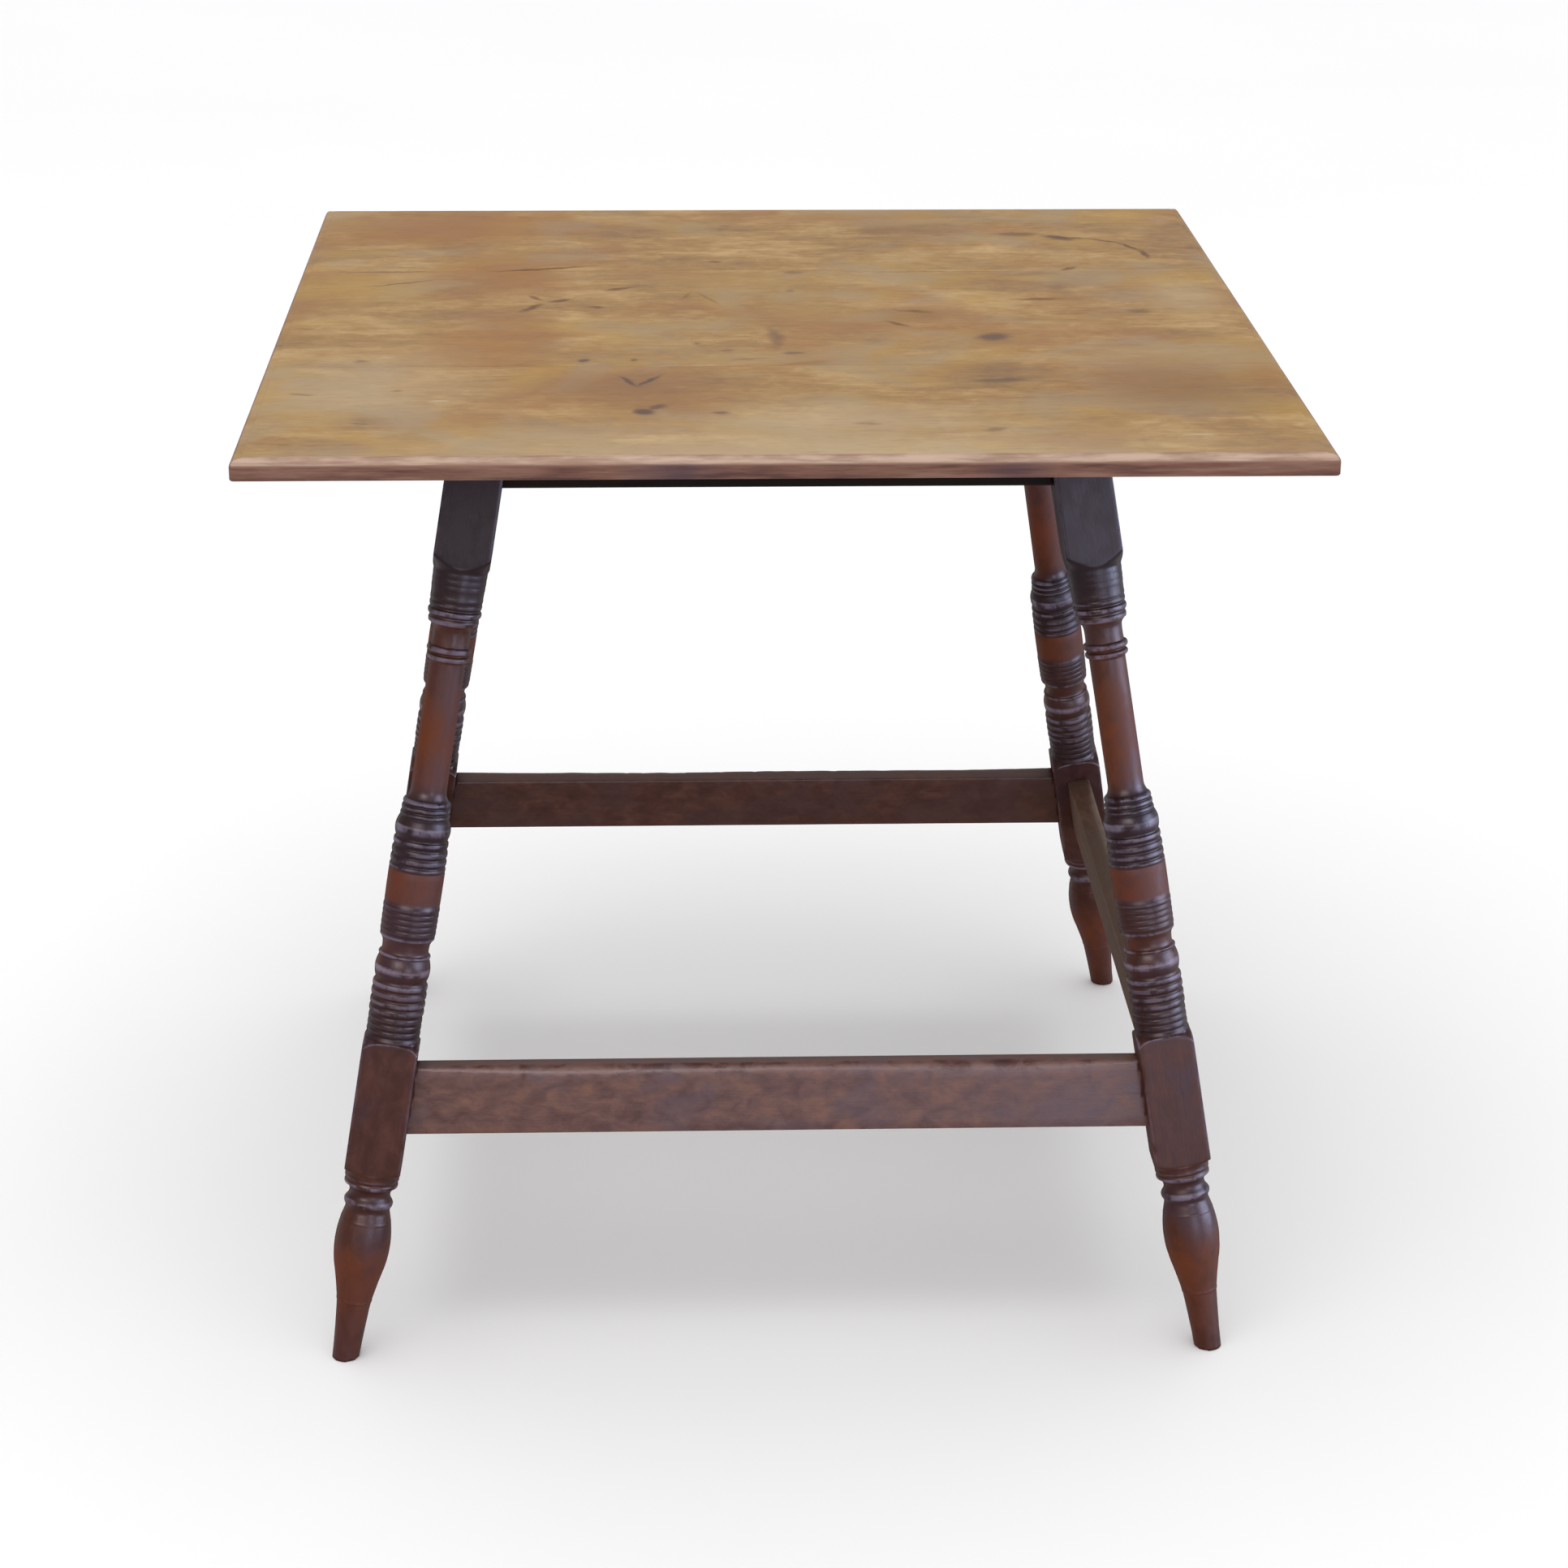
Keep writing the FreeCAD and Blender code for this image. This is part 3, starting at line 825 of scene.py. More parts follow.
def pull_in_corner(x, y):
    """Rounds the table's four corners in plan: the square of the corner becomes a quarter disc."""
    in_x = TOP_WIDTH / 2 - abs(x)
    in_y = TOP_DEPTH / 2 - abs(y)
    if in_x >= CORNER_WORN or in_y >= CORNER_WORN:
        return x, y
    out_x = 1 - in_x / CORNER_WORN
    out_y = 1 - in_y / CORNER_WORN
    pull = max(out_x, out_y) / math.hypot(out_x, out_y) if max(out_x, out_y) > 0 else 1.0
    new_x = TOP_WIDTH / 2 - CORNER_WORN * (1 - out_x * pull)
    new_y = TOP_DEPTH / 2 - CORNER_WORN * (1 - out_y * pull)
    return math.copysign(new_x, x), math.copysign(new_y, y)


def plane_board(name, front, rear, front_moulded, rear_moulded):
    """A board of the top, from front to rear in millimetres along Y."""
    board = Piece(f"planed_{name}")
    half = TOP_WIDTH / 2
    columns = grid_lines(-half, half, MOULD_LINES, MOULD_LINES)
    front_lines = MOULD_LINES if front_moulded else JOINT_LINES
    rear_lines = MOULD_LINES if rear_moulded else JOINT_LINES
    rows = grid_lines(front, rear, front_lines, rear_lines)

    def insets(x, y):
        """Distances to the nearest moulded edge and to the nearest joint."""
        to_moulding = [half - abs(x)]
        to_joint = []
        (to_moulding if front_moulded else to_joint).append(y - front)
        (to_moulding if rear_moulded else to_joint).append(rear - y)
        return min(to_moulding), min(to_joint)

    def corner(x, y, up, **facts):
        pulled = pull_in_corner(x, y)
        spot = Vector((pulled[0], pulled[1], UNDERSIDE / MM + up)) * MM
        return board.point(spot, Vector((x, y, up)) * MM, **facts)

    upper, lower = [], []
    for y in rows:
        upper_row, lower_row = [], []
        for x in columns:
            to_moulding, to_joint = insets(x, y)
            front_or_back = min(y + TOP_DEPTH / 2, TOP_DEPTH / 2 - y) == to_moulding
            moulded = MOULDING_WEAR_AND_HIGHLIGHT if front_or_back and to_moulding <= PALE_WITHIN else 0.0
            reddest, fades_over = FRONT_RED if front_or_back else SIDE_RED_AND_SHADE
            edge = max(0.0, reddest - to_moulding / fades_over)
            up = TOP_THICK - face_drop(x, y, to_moulding, to_joint)
            upper_row.append(corner(x, y, up, moulded=moulded, edge=edge, under=0.0))
            under = 0.0 if to_moulding < LOWER_ARRIS else 1.0
            rise = lower_rise(to_moulding)
            lower_row.append(corner(x, y, rise, moulded=0.0, edge=1.0 - under, under=under))
        upper.append(upper_row)
        lower.append(lower_row)

    lay_grid(board, upper, columns, rows, insets)
    lay_grid(board, lower, columns, rows, insets)
    wall = [grid_rim(upper)]
    for height in WALL_HEIGHTS:
        ring = []
        for x, y in grid_rim([[(x, y) for x in columns] for y in rows]):
            on_edge = min(insets(x, y)[0], 1.0)
            ring.append(corner(x, y, height, moulded=0.0, edge=1.0 - on_edge, under=on_edge))
        wall.append(ring)
    wall.append(grid_rim(lower))
    board.skin(wall)
    return board.finish("top_wood", name)


def grid_rim(grid):
    """The points round the outside of a grid, once round."""
    right = [row[-1] for row in grid[1:-1]]
    left = [row[0] for row in grid[1:-1]]
    return grid[0] + right + grid[-1][::-1] + left[::-1]


def lay_grid(board, grid, columns, rows, insets):
    """Faces of a grid. A face that lies on the mitre is split along it."""

    def inset(row, column):
        """How far in from the nearest moulded edge this point of the grid lies."""
        return insets(columns[column], rows[row])[0]

    for row in range(len(rows) - 1):
        for column in range(len(columns) - 1):
            a, b = grid[row][column], grid[row][column + 1]
            c, d = grid[row + 1][column + 1], grid[row + 1][column]
            one_way = inset(row, column) != inset(row + 1, column + 1)
            other_way = inset(row, column + 1) != inset(row + 1, column)
            near_edge = inset(row, column) < MOULD_LINES[-1]
            if near_edge and one_way and not other_way:
                board.shape.faces.new((a, b, c))
                board.shape.faces.new((a, c, d))
            elif near_edge and other_way and not one_way:
                board.shape.faces.new((a, b, d))
                board.shape.faces.new((b, c, d))
            else:
                board.shape.faces.new((a, b, c, d))


front_joint = FRONT_BOARD - TOP_DEPTH / 2
rear_joint = TOP_DEPTH / 2 - REAR_BOARD
boards = [
    plane_board("top_board_front", -TOP_DEPTH / 2, front_joint, True, False),
    plane_board("top_board_middle", front_joint, rear_joint, False, False),
    plane_board("top_board_rear", rear_joint, TOP_DEPTH / 2, False, True),
]
print("joints at", front_joint, "and", rear_joint, "mm from the middle")

# %% [markdown]
# ## Mixing a finish
#
# A finish is a small recipe of nodes. Blender's noise is stretched many times along the grain to
# make fibres, less to make figure, and hardly at all to make stains. The words below join the nodes,
# so that a recipe can be read from top to bottom as a polisher would tell it.

# %% Words for mixing a finish
def shade(red, green, blue):
    """A colour in the 0 to 255 numbers of a paint card, as the light that Blender works with."""
    linear = []
    for part in (red, green, blue):
        part /= 255
        linear.append(part / 12.92 if part <= 0.04045 else ((part + 0.055) / 1.055) ** 2.4)
    return (*linear, 1.0)


class Finish:
    """A finish being mixed."""

    def __init__(self, name):
        self.material = bpy.data.materials.new(name)
        self.material.use_nodes = True
        self.tree = self.material.node_tree
        self.surface = self.tree.nodes["Principled BSDF"]

    def feed(self, socket, value):
        if isinstance(value, bpy.types.NodeSocket):
            self.tree.links.new(value, socket)
        else:
            socket.default_value = value

    def add(self, kind, inputs, output=0, **settings):
        """A node with its settings and inputs; hands back one of its outputs."""
        node = self.tree.nodes.new(kind)
        for setting, value in settings.items():
            setattr(node, setting, value)
        for socket, value in inputs.items():
            self.feed(node.inputs[socket], value)
        return node.outputs[output]

    def recall(self, fact, output="Fac"):
        """A number, or the grain place, that the points remember."""
        return self.add("ShaderNodeAttribute", {}, output, attribute_name=fact)

    def stretch(self, place, along, across, deep=None):
        scales = (along, across, across if deep is None else deep)
        return self.add("ShaderNodeVectorMath", {0: place, 1: scales}, operation="MULTIPLY")

    def cloud(self, place, detail=3.0, roughness=0.5, distortion=0.0):
        settings = {"Vector": place, "Scale": 1.0, "Detail": detail}
        settings.update({"Roughness": roughness, "Distortion": distortion})
        return self.add("ShaderNodeTexNoise", settings)

    def between(self, value, low, high, start=0.0, end=1.0):
        """Rises smoothly from start to end as the value goes from low to high."""
        inputs = {"Value": value, "From Min": low, "From Max": high, "To Min": start, "To Max": end}
        return self.add("ShaderNodeMapRange", inputs, interpolation_type="SMOOTHSTEP")

    def work(self, operation, first, second=0.0):
        return self.add("ShaderNodeMath", {0: first, 1: second}, operation=operation)

    def tones(self, value, stops):
        """A colour for each value, from stops of (value, colour)."""
        node = self.tree.nodes.new("ShaderNodeValToRGB")
        ramp = node.color_ramp
        while len(ramp.elements) < len(stops):
            ramp.elements.new(0.5)
        for element, (position, colour) in zip(ramp.elements, stops):
            element.position = position
            element.color = colour
        self.feed(node.inputs["Fac"], value)
        return node.outputs["Color"]

    def blend(self, base, colour, share, how="MIX"):
        inputs = {0: share, 6: base, 7: colour}
        return self.add("ShaderNodeMix", inputs, 2, data_type="RGBA", blend_type=how)

    def relief(self, height, depth, under=None):
        """Bumps whose highest and lowest points are this many millimetres apart."""
        inputs = {"Height": height, "Distance": depth * MM}
        if under is not None:
            inputs["Normal"] = under
        return self.add("ShaderNodeBump", inputs)


# %% [markdown]
# ## Dark polished legs and rails
#
# The legs and rails are a close brown timber under a dark red stain and old polish. Fine fibres run
# along it, with short dark pores, and the stain has faded unevenly, here to purple, there to olive.
# On ridges and arrises it is worn thin and greyish, and on the legs that worn tone is a blue-grey
# painted sheen; the crowns of the large beads are painted paler still, a painted highlight. Dirt and
# polish have collected in the grooves. The polish is what shines, so the wood is duller where it is
# rubbed bare. The shine is set low, because old polish is crazed and reflects far less than new
# varnish does.

# %% A recipe for stain and polish
def dark_polish(name, deep, mid, warm, faded, rubbed_tone, ridge_wear_and_sheen, ridge_share, striped, dull, shine):
    """A stained and polished finish. Three tones of stain, what it has faded to, what shows where it
    is rubbed away and on the ridges, where the worn tone also paints their sheen, how much of its
    pattern is stripes along the grain, its roughness from the smoothest to the dullest places, and
    how strongly the polish reflects."""
    finish = Finish(name)
    grain = finish.recall("grain", "Vector")
    wear = finish.recall("wear")
    rubbed = finish.recall("rubbed")
    fibres = finish.cloud(finish.stretch(grain, 22, 520), 4, 0.6)
    figure = finish.cloud(finish.stretch(grain, 6, 75), 4, 0.55, 0.6)
    mottle = finish.cloud(finish.stretch(grain, 60, 90), 4, 0.6, 0.4)
    blotch = finish.cloud(finish.stretch(grain, 16, 26), 3, 0.5, 0.3)
    pores = finish.between(finish.cloud(finish.stretch(grain, 110, 2300), 1), 0.63, 0.72)

    stripes = finish.blend(figure, fibres, 0.45)
    tone = finish.blend(mottle, stripes, striped)
    colour = finish.tones(tone, ((0.34, deep), (0.5, mid), (0.66, warm)))
    colour = finish.blend(colour, faded, finish.between(blotch, 0.46, 0.64, 0.0, 0.6))
    # Below zero rubbed the wood darkens to a dark mauve: kept stain, and up the top block painted shade
    # under the table top.
    kept = finish.between(rubbed, -0.05, -0.6, 0.0, 0.85)
    colour = finish.blend(colour, shade(26, 13, 24), kept)
    bared = finish.between(rubbed, 0.0, 1.0)
    thin = finish.work("MULTIPLY", bared, finish.between(mottle, 0.3, 0.62, 0.6, 1.0))
    colour = finish.blend(colour, rubbed_tone, thin)
    # Ridges take the worn tone, which on the legs is a blue-grey painted sheen.
    ridge = finish.work("MULTIPLY", finish.between(wear, 0.2, 0.9), finish.between(mottle, 0.36, 0.6))
    colour = finish.blend(colour, ridge_wear_and_sheen, finish.work("MULTIPLY", ridge, ridge_share))
    # Painted highlight: the crowns of the large beads are painted a pale pinkish grey.
    colour = finish.blend(colour, shade(150, 128, 140), finish.between(wear, 1.0, 1.6, 0.0, 0.36))
    colour = finish.blend(colour, shade(26, 18, 20), finish.between(wear, -0.1, -0.8, 0.0, 0.6))
    colour = finish.blend(colour, shade(30, 20, 18), finish.work("MULTIPLY", pores, 0.3))
    finish.feed(finish.surface.inputs["Base Color"], colour)

    worn_dull = finish.work("MULTIPLY", bared, 0.35)
    rough = finish.work("ADD", finish.between(mottle, 0.3, 0.7, *dull), worn_dull)
    grazing = finish.add("ShaderNodeLayerWeight", {"Blend": 0.5}, "Facing")
    rough = finish.work("ADD", rough, finish.between(grazing, 0.6, 1.0, 0.0, 0.5))
    finish.feed(finish.surface.inputs["Roughness"], rough)
    finish.surface.inputs["Specular IOR Level"].default_value = shine
    bumps = finish.relief(fibres, 0.06)
    bumps = finish.relief(finish.work("SUBTRACT", 1.0, pores), 0.04, bumps)
    finish.feed(finish.surface.inputs["Normal"], finish.relief(mottle, 0.09, bumps))
    return finish.material


# %% Stain and polish the legs
leg_polish = dark_polish(
    "leg_polish",
    deep=shade(58, 28, 20),
    mid=shade(67, 33, 24),
    warm=shade(79, 41, 28),
    faded=shade(58, 38, 48),
    rubbed_tone=shade(103, 46, 8),
    # The ridge tone here is a blue-grey painted sheen as well as wear.
    ridge_wear_and_sheen=shade(112, 101, 121),
    ridge_share=0.78,
    striped=0.3,
    dull=(0.34, 0.46),
    shine=0.12,
)
for leg in legs:
    leg.data.materials.append(leg_polish)
    polished.objects.link(leg)

# %% Stain and polish the rails
front_polish = dark_polish(
    "front_polish",
    deep=shade(76, 46, 41),
    mid=shade(92, 60, 53),
    warm=shade(112, 73, 54),
    faded=shade(79, 59, 67),
    rubbed_tone=shade(120, 78, 52),
    ridge_wear_and_sheen=shade(126, 98, 96),
    ridge_share=0.45,
    striped=0.3,
    dull=(0.34, 0.5),
    shine=0.2,
)
# The back stretcher's polish is a darker copy of the front one's, partly painted shade, as it stands
# further under the table.
back_shaded_polish = dark_polish(
    "back_shaded_polish",
    deep=shade(66, 36, 28),
    mid=shade(80, 45, 35),
    warm=shade(94, 56, 40),
    faded=shade(72, 46, 44),
    rubbed_tone=shade(110, 70, 44),
    ridge_wear_and_sheen=shade(100, 76, 66),
    ridge_share=0.4,
    striped=0.3,
    dull=(0.34, 0.5),
    shine=0.17,
)
side_polish = dark_polish(
    "side_polish",
    deep=shade(70, 46, 33),
    mid=shade(83, 57, 42),
    warm=shade(98, 70, 50),
    faded=shade(78, 60, 48),
    rubbed_tone=shade(110, 80, 50),
    ridge_wear_and_sheen=shade(116, 96, 74),
    ridge_share=0.4,
    striped=0.5,
    dull=(0.4, 0.55),
    shine=0.14,
)
# The aprons' polish is nearly black: kept stain, made darker still as painted shade under the top.
shaded_apron_polish = dark_polish(
    "shaded_apron_polish",
    deep=shade(17, 10, 9),
    mid=shade(24, 15, 13),
    warm=shade(34, 22, 18),
    faded=shade(26, 18, 18),
    rubbed_tone=shade(60, 40, 30),
    ridge_wear_and_sheen=shade(40, 28, 24),
    ridge_share=0.3,
    striped=0.6,
    dull=(0.5, 0.65),
    shine=0.1,
)
for stretcher, polish in zip(stretchers, (front_polish, side_polish, back_shaded_polish, side_polish)):
    stretcher.data.materials.append(polish)
    polished.objects.link(stretcher)
for apron in aprons:
    apron.data.materials.append(shaded_apron_polish)

# %% [markdown]
# ## The worn top
#
# Sun, scrubbing and elbows have taken the red stain off the top and left a honey brown with streaks
# of tan. Each mark of use is a soft or a sharp ellipse: where it lies on the top, how long and wide
# it is, how it is turned, and how strong. One node group draws them all. A little noise in the place
# that it reads makes the outlines ragged, as ink, splits and burns are.

# %% A stencil for marks of use
stencil = bpy.data.node_groups.new("stencil", "ShaderNodeTree")
for socket_name, kind in (
    ("Place", "NodeSocketVector"),
    ("Middle", "NodeSocketVector"),
    ("Turn", "NodeSocketFloat"),
    ("Narrowing", "NodeSocketVector"),
    ("Edge", "NodeSocketFloat"),
    ("Strength", "NodeSocketFloat"),
):
    stencil.interface.new_socket(socket_name, in_out="INPUT", socket_type=kind)
stencil.interface.new_socket("Mask", in_out="OUTPUT", socket_type="NodeSocketFloat")
holes = stencil.nodes.new("NodeGroupInput").outputs
from_middle = stencil.nodes.new("ShaderNodeVectorMath")
from_middle.operation = "SUBTRACT"
turned = stencil.nodes.new("ShaderNodeVectorRotate")
turned.rotation_type = "Z_AXIS"
narrowed = stencil.nodes.new("ShaderNodeVectorMath")
narrowed.operation = "MULTIPLY"
reached = stencil.nodes.new("ShaderNodeVectorMath")
reached.operation = "LENGTH"
faded = stencil.nodes.new("ShaderNodeMapRange")
faded.interpolation_type = "SMOOTHSTEP"
faded.inputs["From Min"].default_value = 1.0
for source, target in (
    (holes["Place"], from_middle.inputs[0]),
    (holes["Middle"], from_middle.inputs[1]),
    (from_middle.outputs[0], turned.inputs["Vector"]),
    (holes["Turn"], turned.inputs["Angle"]),
    (turned.outputs[0], narrowed.inputs[0]),
    (holes["Narrowing"], narrowed.inputs[1]),
    (narrowed.outputs[0], reached.inputs[0]),
    (reached.outputs["Value"], faded.inputs["Value"]),
    (holes["Edge"], faded.inputs["From Max"]),
    (holes["Strength"], faded.inputs["To Max"]),
    (faded.outputs[0], stencil.nodes.new("NodeGroupOutput").inputs["Mask"]),
):
    stencil.links.new(source, target)
print("nodes in the stencil:", len(stencil.nodes))

# %% Where the marks lie
# Each mark: millimetres to the right and to the back of the middle, half its length, half its
# width, degrees anticlockwise, strength.
SPLITS = (
    (-178, 156, 56, 1.2, 13, 0.9),
    (-286, 108, 38, 1.1, 24, 0.7),
    (-114, 88, 20, 1.6, 28, 0.75),
    (-181, 27, 21, 2.0, 59, 0.85),
    (-160, 50, 15, 1.9, 29, 0.85),
    (-178, 58, 16, 1.2, -58, 0.7),
    (-131, 28, 8, 2.0, -14, 0.7),
    (-38, 179, 9, 1.8, 14, 0.7),
    (-62, 64, 18, 1.0, 70, 0.35),
    (-45, 55, 28, 1.0, -67, 0.35),
    (134, 143, 106, 0.6, 0, 0.4),
    (247, 152, 14, 1.6, 46, 0.75),
    (-300, 147.6, 60, 0.8, 0, 0.5),
    (262, 261, 26, 1.2, -8, 0.7),
    (288, 250, 24, 1.2, -34, 0.8),
    (306, 228, 26, 1.3, -62, 0.85),
    (315, 202, 22, 1.6, -84, 0.9),
    (112, 13, 22, 1.8, -11, 0.6),
    (97, -26, 18, 1.4, -47, 0.7),
    (212, 50, 25, 2.0, 2, 0.7),
    (-17, -127, 20, 1.1, 8, 0.35),
    (-335, -220, 13, 1.3, -12, 0.45),
    (-269, -211, 7, 1.3, 10, 0.45),
    (-288, -296, 12, 1.3, -9, 0.4),
    (-350, -35, 11, 1.3, -6, 0.4),
)
STAINS = (
    (-106, -188, 21, 2.3, -69, 0.9),
    (-91, -187, 24, 2.4, 62, 0.9),
    (-95, -268, 11, 8.0, 12, 0.9),
    (-86, -256, 12, 4.0, 50, 0.7),
    (-138, -129, 6, 4.0, 0, 0.8),
    (-102, -128, 3.5, 3.0, 0, 0.6),
    (-42, -271, 8, 3.2, 5, 0.55),
    (-34, -103, 9, 2.4, 0, 0.5),
    (-56, -82, 3.5, 3.5, 0, 0.4),
    (217, 276, 27, 7.0, -3, 0.55),
    (251, 262, 21, 6.5, -38, 0.8),
    (25, 141, 12, 5.0, 0, 0.4),
    (19, 80, 5, 4.0, 0, 0.35),
    (166, -66, 19, 10.0, 30, 0.8),
    (157, -189, 27, 4.5, 4, 0.6),
    (15, -111, 11, 4.0, 4, 0.55),
    (285, 11, 13, 7.0, 0, 0.35),
    (58, -300, 12, 3.0, 0, 0.35),
    (144, -316, 12, 4.0, 30, 0.35),
    (-300, -130, 8, 4.0, 0, 0.4),
)
SHADOWED = (
    (3, -64, 9, 54, 0, 0.8),
    (157, -150, 40, 34, 0, 0.5),
    (234, 86, 14, 38, 0, 0.45),
    (290, -215, 110, 95, 0, 0.55),
    (120, 290, 90, 45, 0, 0.35),
    (-110, -210, 90, 60, 0, 0.4),
    (110, 0, 70, 40, 0, 0.3),
)
REDDENED = (
    (-260, 305, 150, 105, 0, 0.85),
    (-205, 150, 85, 90, 10, 0.7),
    (-205, -90, 75, 130, 0, 0.5),
    (-120, -180, 80, 40, 0, 0.35),
    (60, 340, 130, 26, 0, 0.4),
    (352, -181, 30, 70, 0, 0.5),
    (265, -185, 105, 105, 0, 0.5),
)
BLEACHED = (
    (0, -400, 460, 150, 0, 0.75),
    (-290, -200, 130, 170, 0, 0.4),
    (40, -290, 150, 70, 0, 0.6),
    (-238, -240, 12, 5.0, 0, 0.9),
    (-283, -120, 14, 4.0, 0, 0.7),
    (280, -331, 19, 4.5, -4, 0.9),
    (325, 60, 50, 90, 0, 0.45),
)
GILDED = (
    (215, 120, 40, 16, 0, 0.6),
    (320, 94, 8, 6, 0, 0.9),
    (-305, 90, 75, 85, 0, 0.6),
    (-20, 110, 120, 60, 0, 0.35),
    (30, 10, 90, 50, 0, 0.35),
)
# Darker purple patches along the front edge.
DARK_EDGE_PATCHES = ((-74, -381, 46, 14, 0, 0.75), (152, -381, 34, 14, 0, 0.6))
ALL_MARKS = SPLITS + STAINS + SHADOWED + REDDENED + BLEACHED + GILDED + DARK_EDGE_PATCHES
print("marks of use:", len(ALL_MARKS))


def stencilled(finish, place, marks, edge, wider=1.0):
    """One mask for a list of marks, made this many times wider: the strongest at each place."""
    mask = None
    for right, back, half_length, half_width, degrees, strength in marks:
        inputs = {
            "Place": place,
            "Middle": Vector((right, back, 0)) * MM,
            "Turn": math.radians(-degrees),
            "Narrowing": (1 / (half_length * MM), 1 / (half_width * wider * MM), 0.0),
            "Edge": edge,
            "Strength": strength,
        }
        drawn = finish.add("ShaderNodeGroup", inputs, node_tree=stencil)
        mask = drawn if mask is None else finish.work("MAXIMUM", mask, drawn)
    return mask


# %% Scrub and wax the top
# Outlines are shaken broadly and finely: the size of the shaking and its reach, in millimetres.
BROADLY, FINELY = (26, 9), (9, 3.5)
# How hard the outlines of stains and splits are, from 0 for the softest, and how many times wider
# they are drawn. A stain also has a wide faint halo.
STAIN_EDGE, SPLIT_EDGE = 0.3, 0.2
STAIN_WIDER, SPLIT_WIDER, HALO_WIDER, HALO_SHARE = 1.45, 3.0, 3.6, 0.4
# Where a broad cloud begins to tint the wood and where it is full, and how strongly it tints.
TINT_FROM, TINT_FULL, TINT_SHARE = 0.46, 0.66, 0.55


def ragged(finish, place, size, reach):
    """The same place, shaken by noise of this size, both in millimetres."""
    shaken = finish.add(
        "ShaderNodeTexNoise", {"Vector": place, "Scale": 1 / (size * MM), "Detail": 3.0}, "Color"
    )
    centred = finish.add("ShaderNodeVectorMath", {0: shaken, 1: (0.5, 0.5, 0.5)}, operation="SUBTRACT")
    moved = finish.stretch(centred, 2 * reach * MM, 2 * reach * MM)
    return finish.add("ShaderNodeVectorMath", {0: place, 1: moved}, operation="ADD")


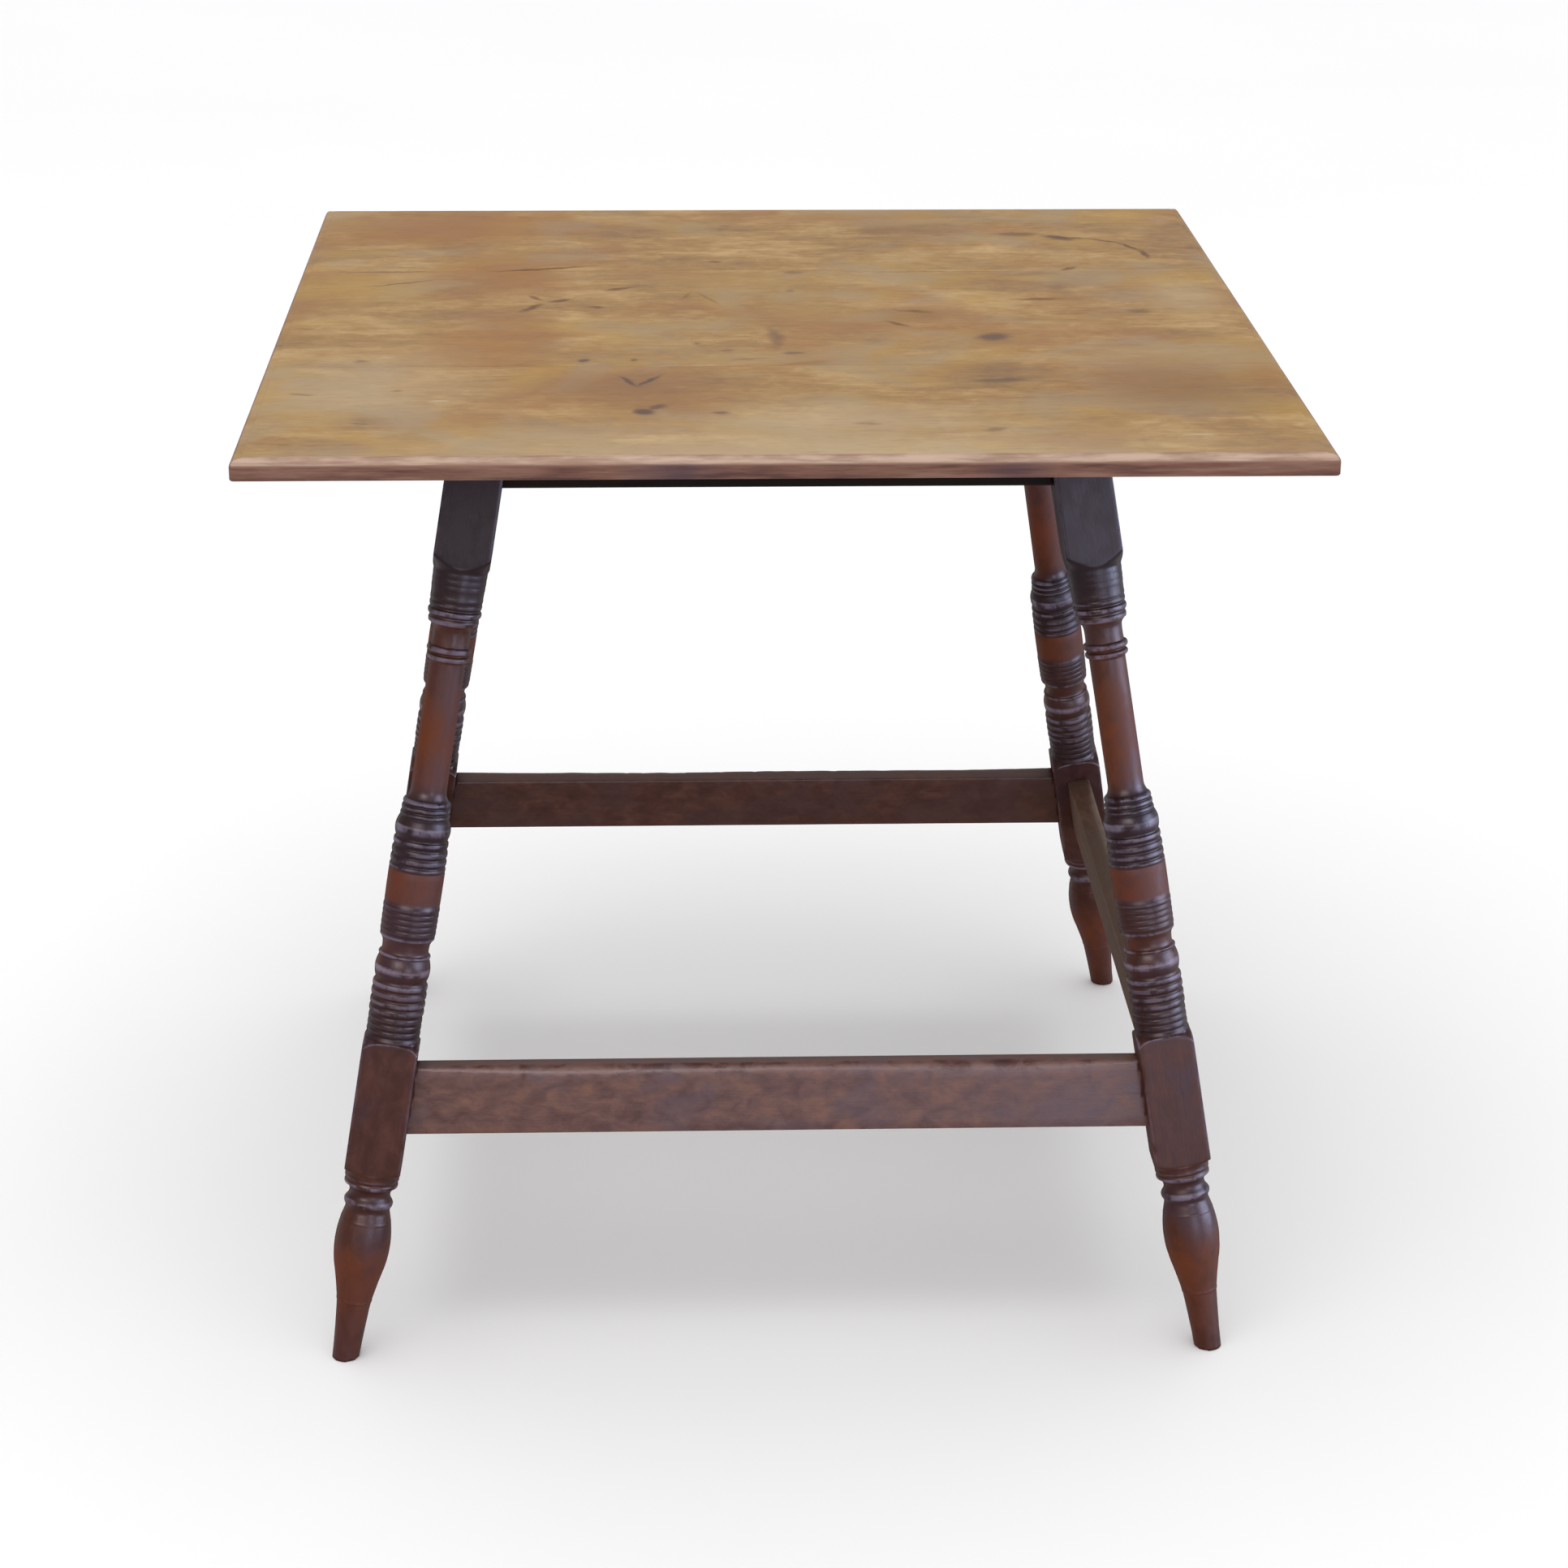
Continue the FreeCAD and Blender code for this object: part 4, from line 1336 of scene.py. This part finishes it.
def scrubbed_wax(name):
    """The top's finish: bleached honey wood, its marks, the red stain left on its edges with painted
    shade over the sides' round, and a painted highlight on the front and back moulding.
    """
    finish = Finish(name)
    grain = finish.recall("grain", "Vector")
    place = finish.add("ShaderNodeTexCoord", {}, "Object")
    fibres = finish.cloud(finish.stretch(grain, 40, 380), 4, 0.65)
    streaks = finish.cloud(finish.stretch(grain, 12, 60), 4, 0.6, 0.5)
    figure = finish.cloud(finish.stretch(grain, 9, 17), 4, 0.56, 0.6)
    flecks = finish.cloud(finish.stretch(grain, 70, 80), 3, 0.6, 0.6)
    reddish = finish.cloud(finish.stretch(grain, 8, 9), 3, 0.52, 0.6)
    golden = finish.cloud(finish.stretch(place, 8, 11), 3, 0.52, 0.5)
    greyish = finish.cloud(finish.stretch(place, 10, 11), 3, 0.52, 0.5)
    pores = finish.between(finish.cloud(finish.stretch(grain, 60, 1500), 1), 0.62, 0.72)

    streaky = finish.blend(streaks, fibres, 0.5)
    tone = finish.blend(streaky, finish.blend(figure, flecks, 0.3), 0.62)
    stops = ((0.35, shade(114, 82, 48)), (0.5, shade(150, 116, 70)), (0.65, shade(184, 154, 108)))
    colour = finish.tones(tone, stops)
    for cloud, tint in (
        (reddish, shade(142, 98, 58)),
        (golden, shade(162, 127, 62)),
        (greyish, shade(148, 128, 102)),
    ):
        tinted = finish.between(cloud, TINT_FROM, TINT_FULL, 0, TINT_SHARE)
        colour = finish.blend(colour, tint, tinted)

    broad = ragged(finish, place, *BROADLY)
    fine = ragged(finish, place, *FINELY)
    for marks, tint in (
        (REDDENED, shade(142, 93, 44)),
        (GILDED, shade(166, 132, 70)),
        (BLEACHED, shade(178, 157, 126)),
        (SHADOWED, shade(112, 82, 58)),
    ):
        colour = finish.blend(colour, tint, stencilled(finish, broad, marks, 0.0))
    halo = stencilled(finish, broad, STAINS, 0.0, HALO_WIDER)
    stains = stencilled(finish, fine, STAINS, STAIN_EDGE, STAIN_WIDER)
    splits = stencilled(finish, fine, SPLITS, SPLIT_EDGE, SPLIT_WIDER)
    colour = finish.blend(colour, shade(104, 78, 62), finish.work("MULTIPLY", halo, HALO_SHARE))
    colour = finish.blend(colour, shade(82, 58, 46), stains)
    colour = finish.blend(colour, shade(92, 56, 26), splits)
    colour = finish.blend(colour, shade(104, 72, 42), finish.work("MULTIPLY", pores, 0.35))

    patchy = finish.cloud(finish.stretch(place, 16, 16, 200), 4, 0.6)
    moulded = finish.recall("moulded")
    # The moulding at the front and back is painted pale pink: rubbed wear and a painted highlight on its
    # round.
    pale_wear_and_highlight = finish.blend(
        shade(188, 160, 144), shade(152, 122, 108), finish.between(patchy, 0.38, 0.62)
    )
    colour = finish.blend(colour, pale_wear_and_highlight, moulded)
    # The red stain of the edges; over the sides' round the same tone is painted shade.
    red_edge_and_shade = finish.tones(
        patchy, ((0.34, shade(88, 60, 56)), (0.5, shade(118, 83, 71)), (0.66, shade(136, 102, 90)))
    )
    red_edge_and_shade = finish.blend(red_edge_and_shade, shade(70, 53, 63), stencilled(finish, broad, DARK_EDGE_PATCHES, 0.0))
    edge = finish.between(finish.recall("edge"), 0.1, 0.6)
    colour = finish.blend(colour, red_edge_and_shade, edge)
    bare = finish.blend(shade(62, 43, 30), shade(106, 81, 60), finish.between(tone, 0.36, 0.64))
    under = finish.recall("under")
    colour = finish.blend(colour, bare, under)
    finish.feed(finish.surface.inputs["Base Color"], colour)

    dull = finish.between(figure, 0.3, 0.7, 0.46, 0.58)
    finish.feed(
        finish.surface.inputs["Roughness"], finish.work("ADD", dull, finish.work("MULTIPLY", under, 0.3))
    )
    finish.surface.inputs["Specular IOR Level"].default_value = 0.16
    bumps = finish.relief(fibres, 0.08)
    bumps = finish.relief(finish.work("SUBTRACT", 1.0, pores), 0.06, bumps)
    bumps = finish.relief(finish.work("SUBTRACT", 1.0, splits), 0.5, bumps)
    finish.feed(finish.surface.inputs["Normal"], bumps)
    return finish.material


top_wax = scrubbed_wax("top_wax")
for board in boards:
    board.data.materials.append(top_wax)

# %% [markdown]
# ## Glue blocks
#
# Eight small blocks are rubbed into the corner between the aprons and the top. They were never
# meant to be seen, so they are sawn softwood: pale, coarse in the grain and without polish. Their
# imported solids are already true, so they stay and only get the finish. These solids remember no
# grain, so the recipe reads the place itself, with the grain along the block.

# %% Saw the glue blocks
def sawn_softwood(name, along_x):
    finish = Finish(name)
    place = finish.add("ShaderNodeTexCoord", {}, "Object")
    scales = (1.0, 9.0, 9.0) if along_x else (9.0, 1.0, 9.0)
    grain = finish.add("ShaderNodeVectorMath", {0: place, 1: scales}, operation="MULTIPLY")
    rings = finish.cloud(finish.stretch(grain, 28, 28), 3, 0.55, 0.7)
    fibres = finish.cloud(finish.stretch(grain, 130, 130), 3, 0.6)
    tone = finish.work("ADD", finish.work("MULTIPLY", rings, 0.6), finish.work("MULTIPLY", fibres, 0.4))
    stops = ((0.36, shade(104, 74, 48)), (0.5, shade(134, 100, 68)), (0.62, shade(158, 124, 88)))
    finish.feed(finish.surface.inputs["Base Color"], finish.tones(tone, stops))
    finish.feed(finish.surface.inputs["Roughness"], finish.between(fibres, 0.3, 0.7, 0.65, 0.85))
    finish.feed(finish.surface.inputs["Normal"], finish.relief(fibres, 0.25))
    return finish.material


softwood = {
    True: sawn_softwood("block_softwood_x", True),
    False: sawn_softwood("block_softwood_y", False),
}
for side in SIDE_NAMES:
    for hand in "ab":
        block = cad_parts[f"glue_block_{side}_{hand}"]
        block.data.materials.clear()
        block.data.materials.append(softwood[side in ("front", "back")])

# %% The pale floor
floor_finish = Finish("pale_floor")
speckle = floor_finish.cloud(floor_finish.add("ShaderNodeTexCoord", {}, "Object"), 2)
floor_tone = floor_finish.between(speckle, 0.2, 0.8, 0.0, 1.0)
floor_colour = floor_finish.blend(shade(245, 245, 246), shade(247, 247, 248), floor_tone)
floor_finish.feed(floor_finish.surface.inputs["Base Color"], floor_colour)
floor_finish.surface.inputs["Roughness"].default_value = 0.9
floor.data.materials.append(floor_finish.material)
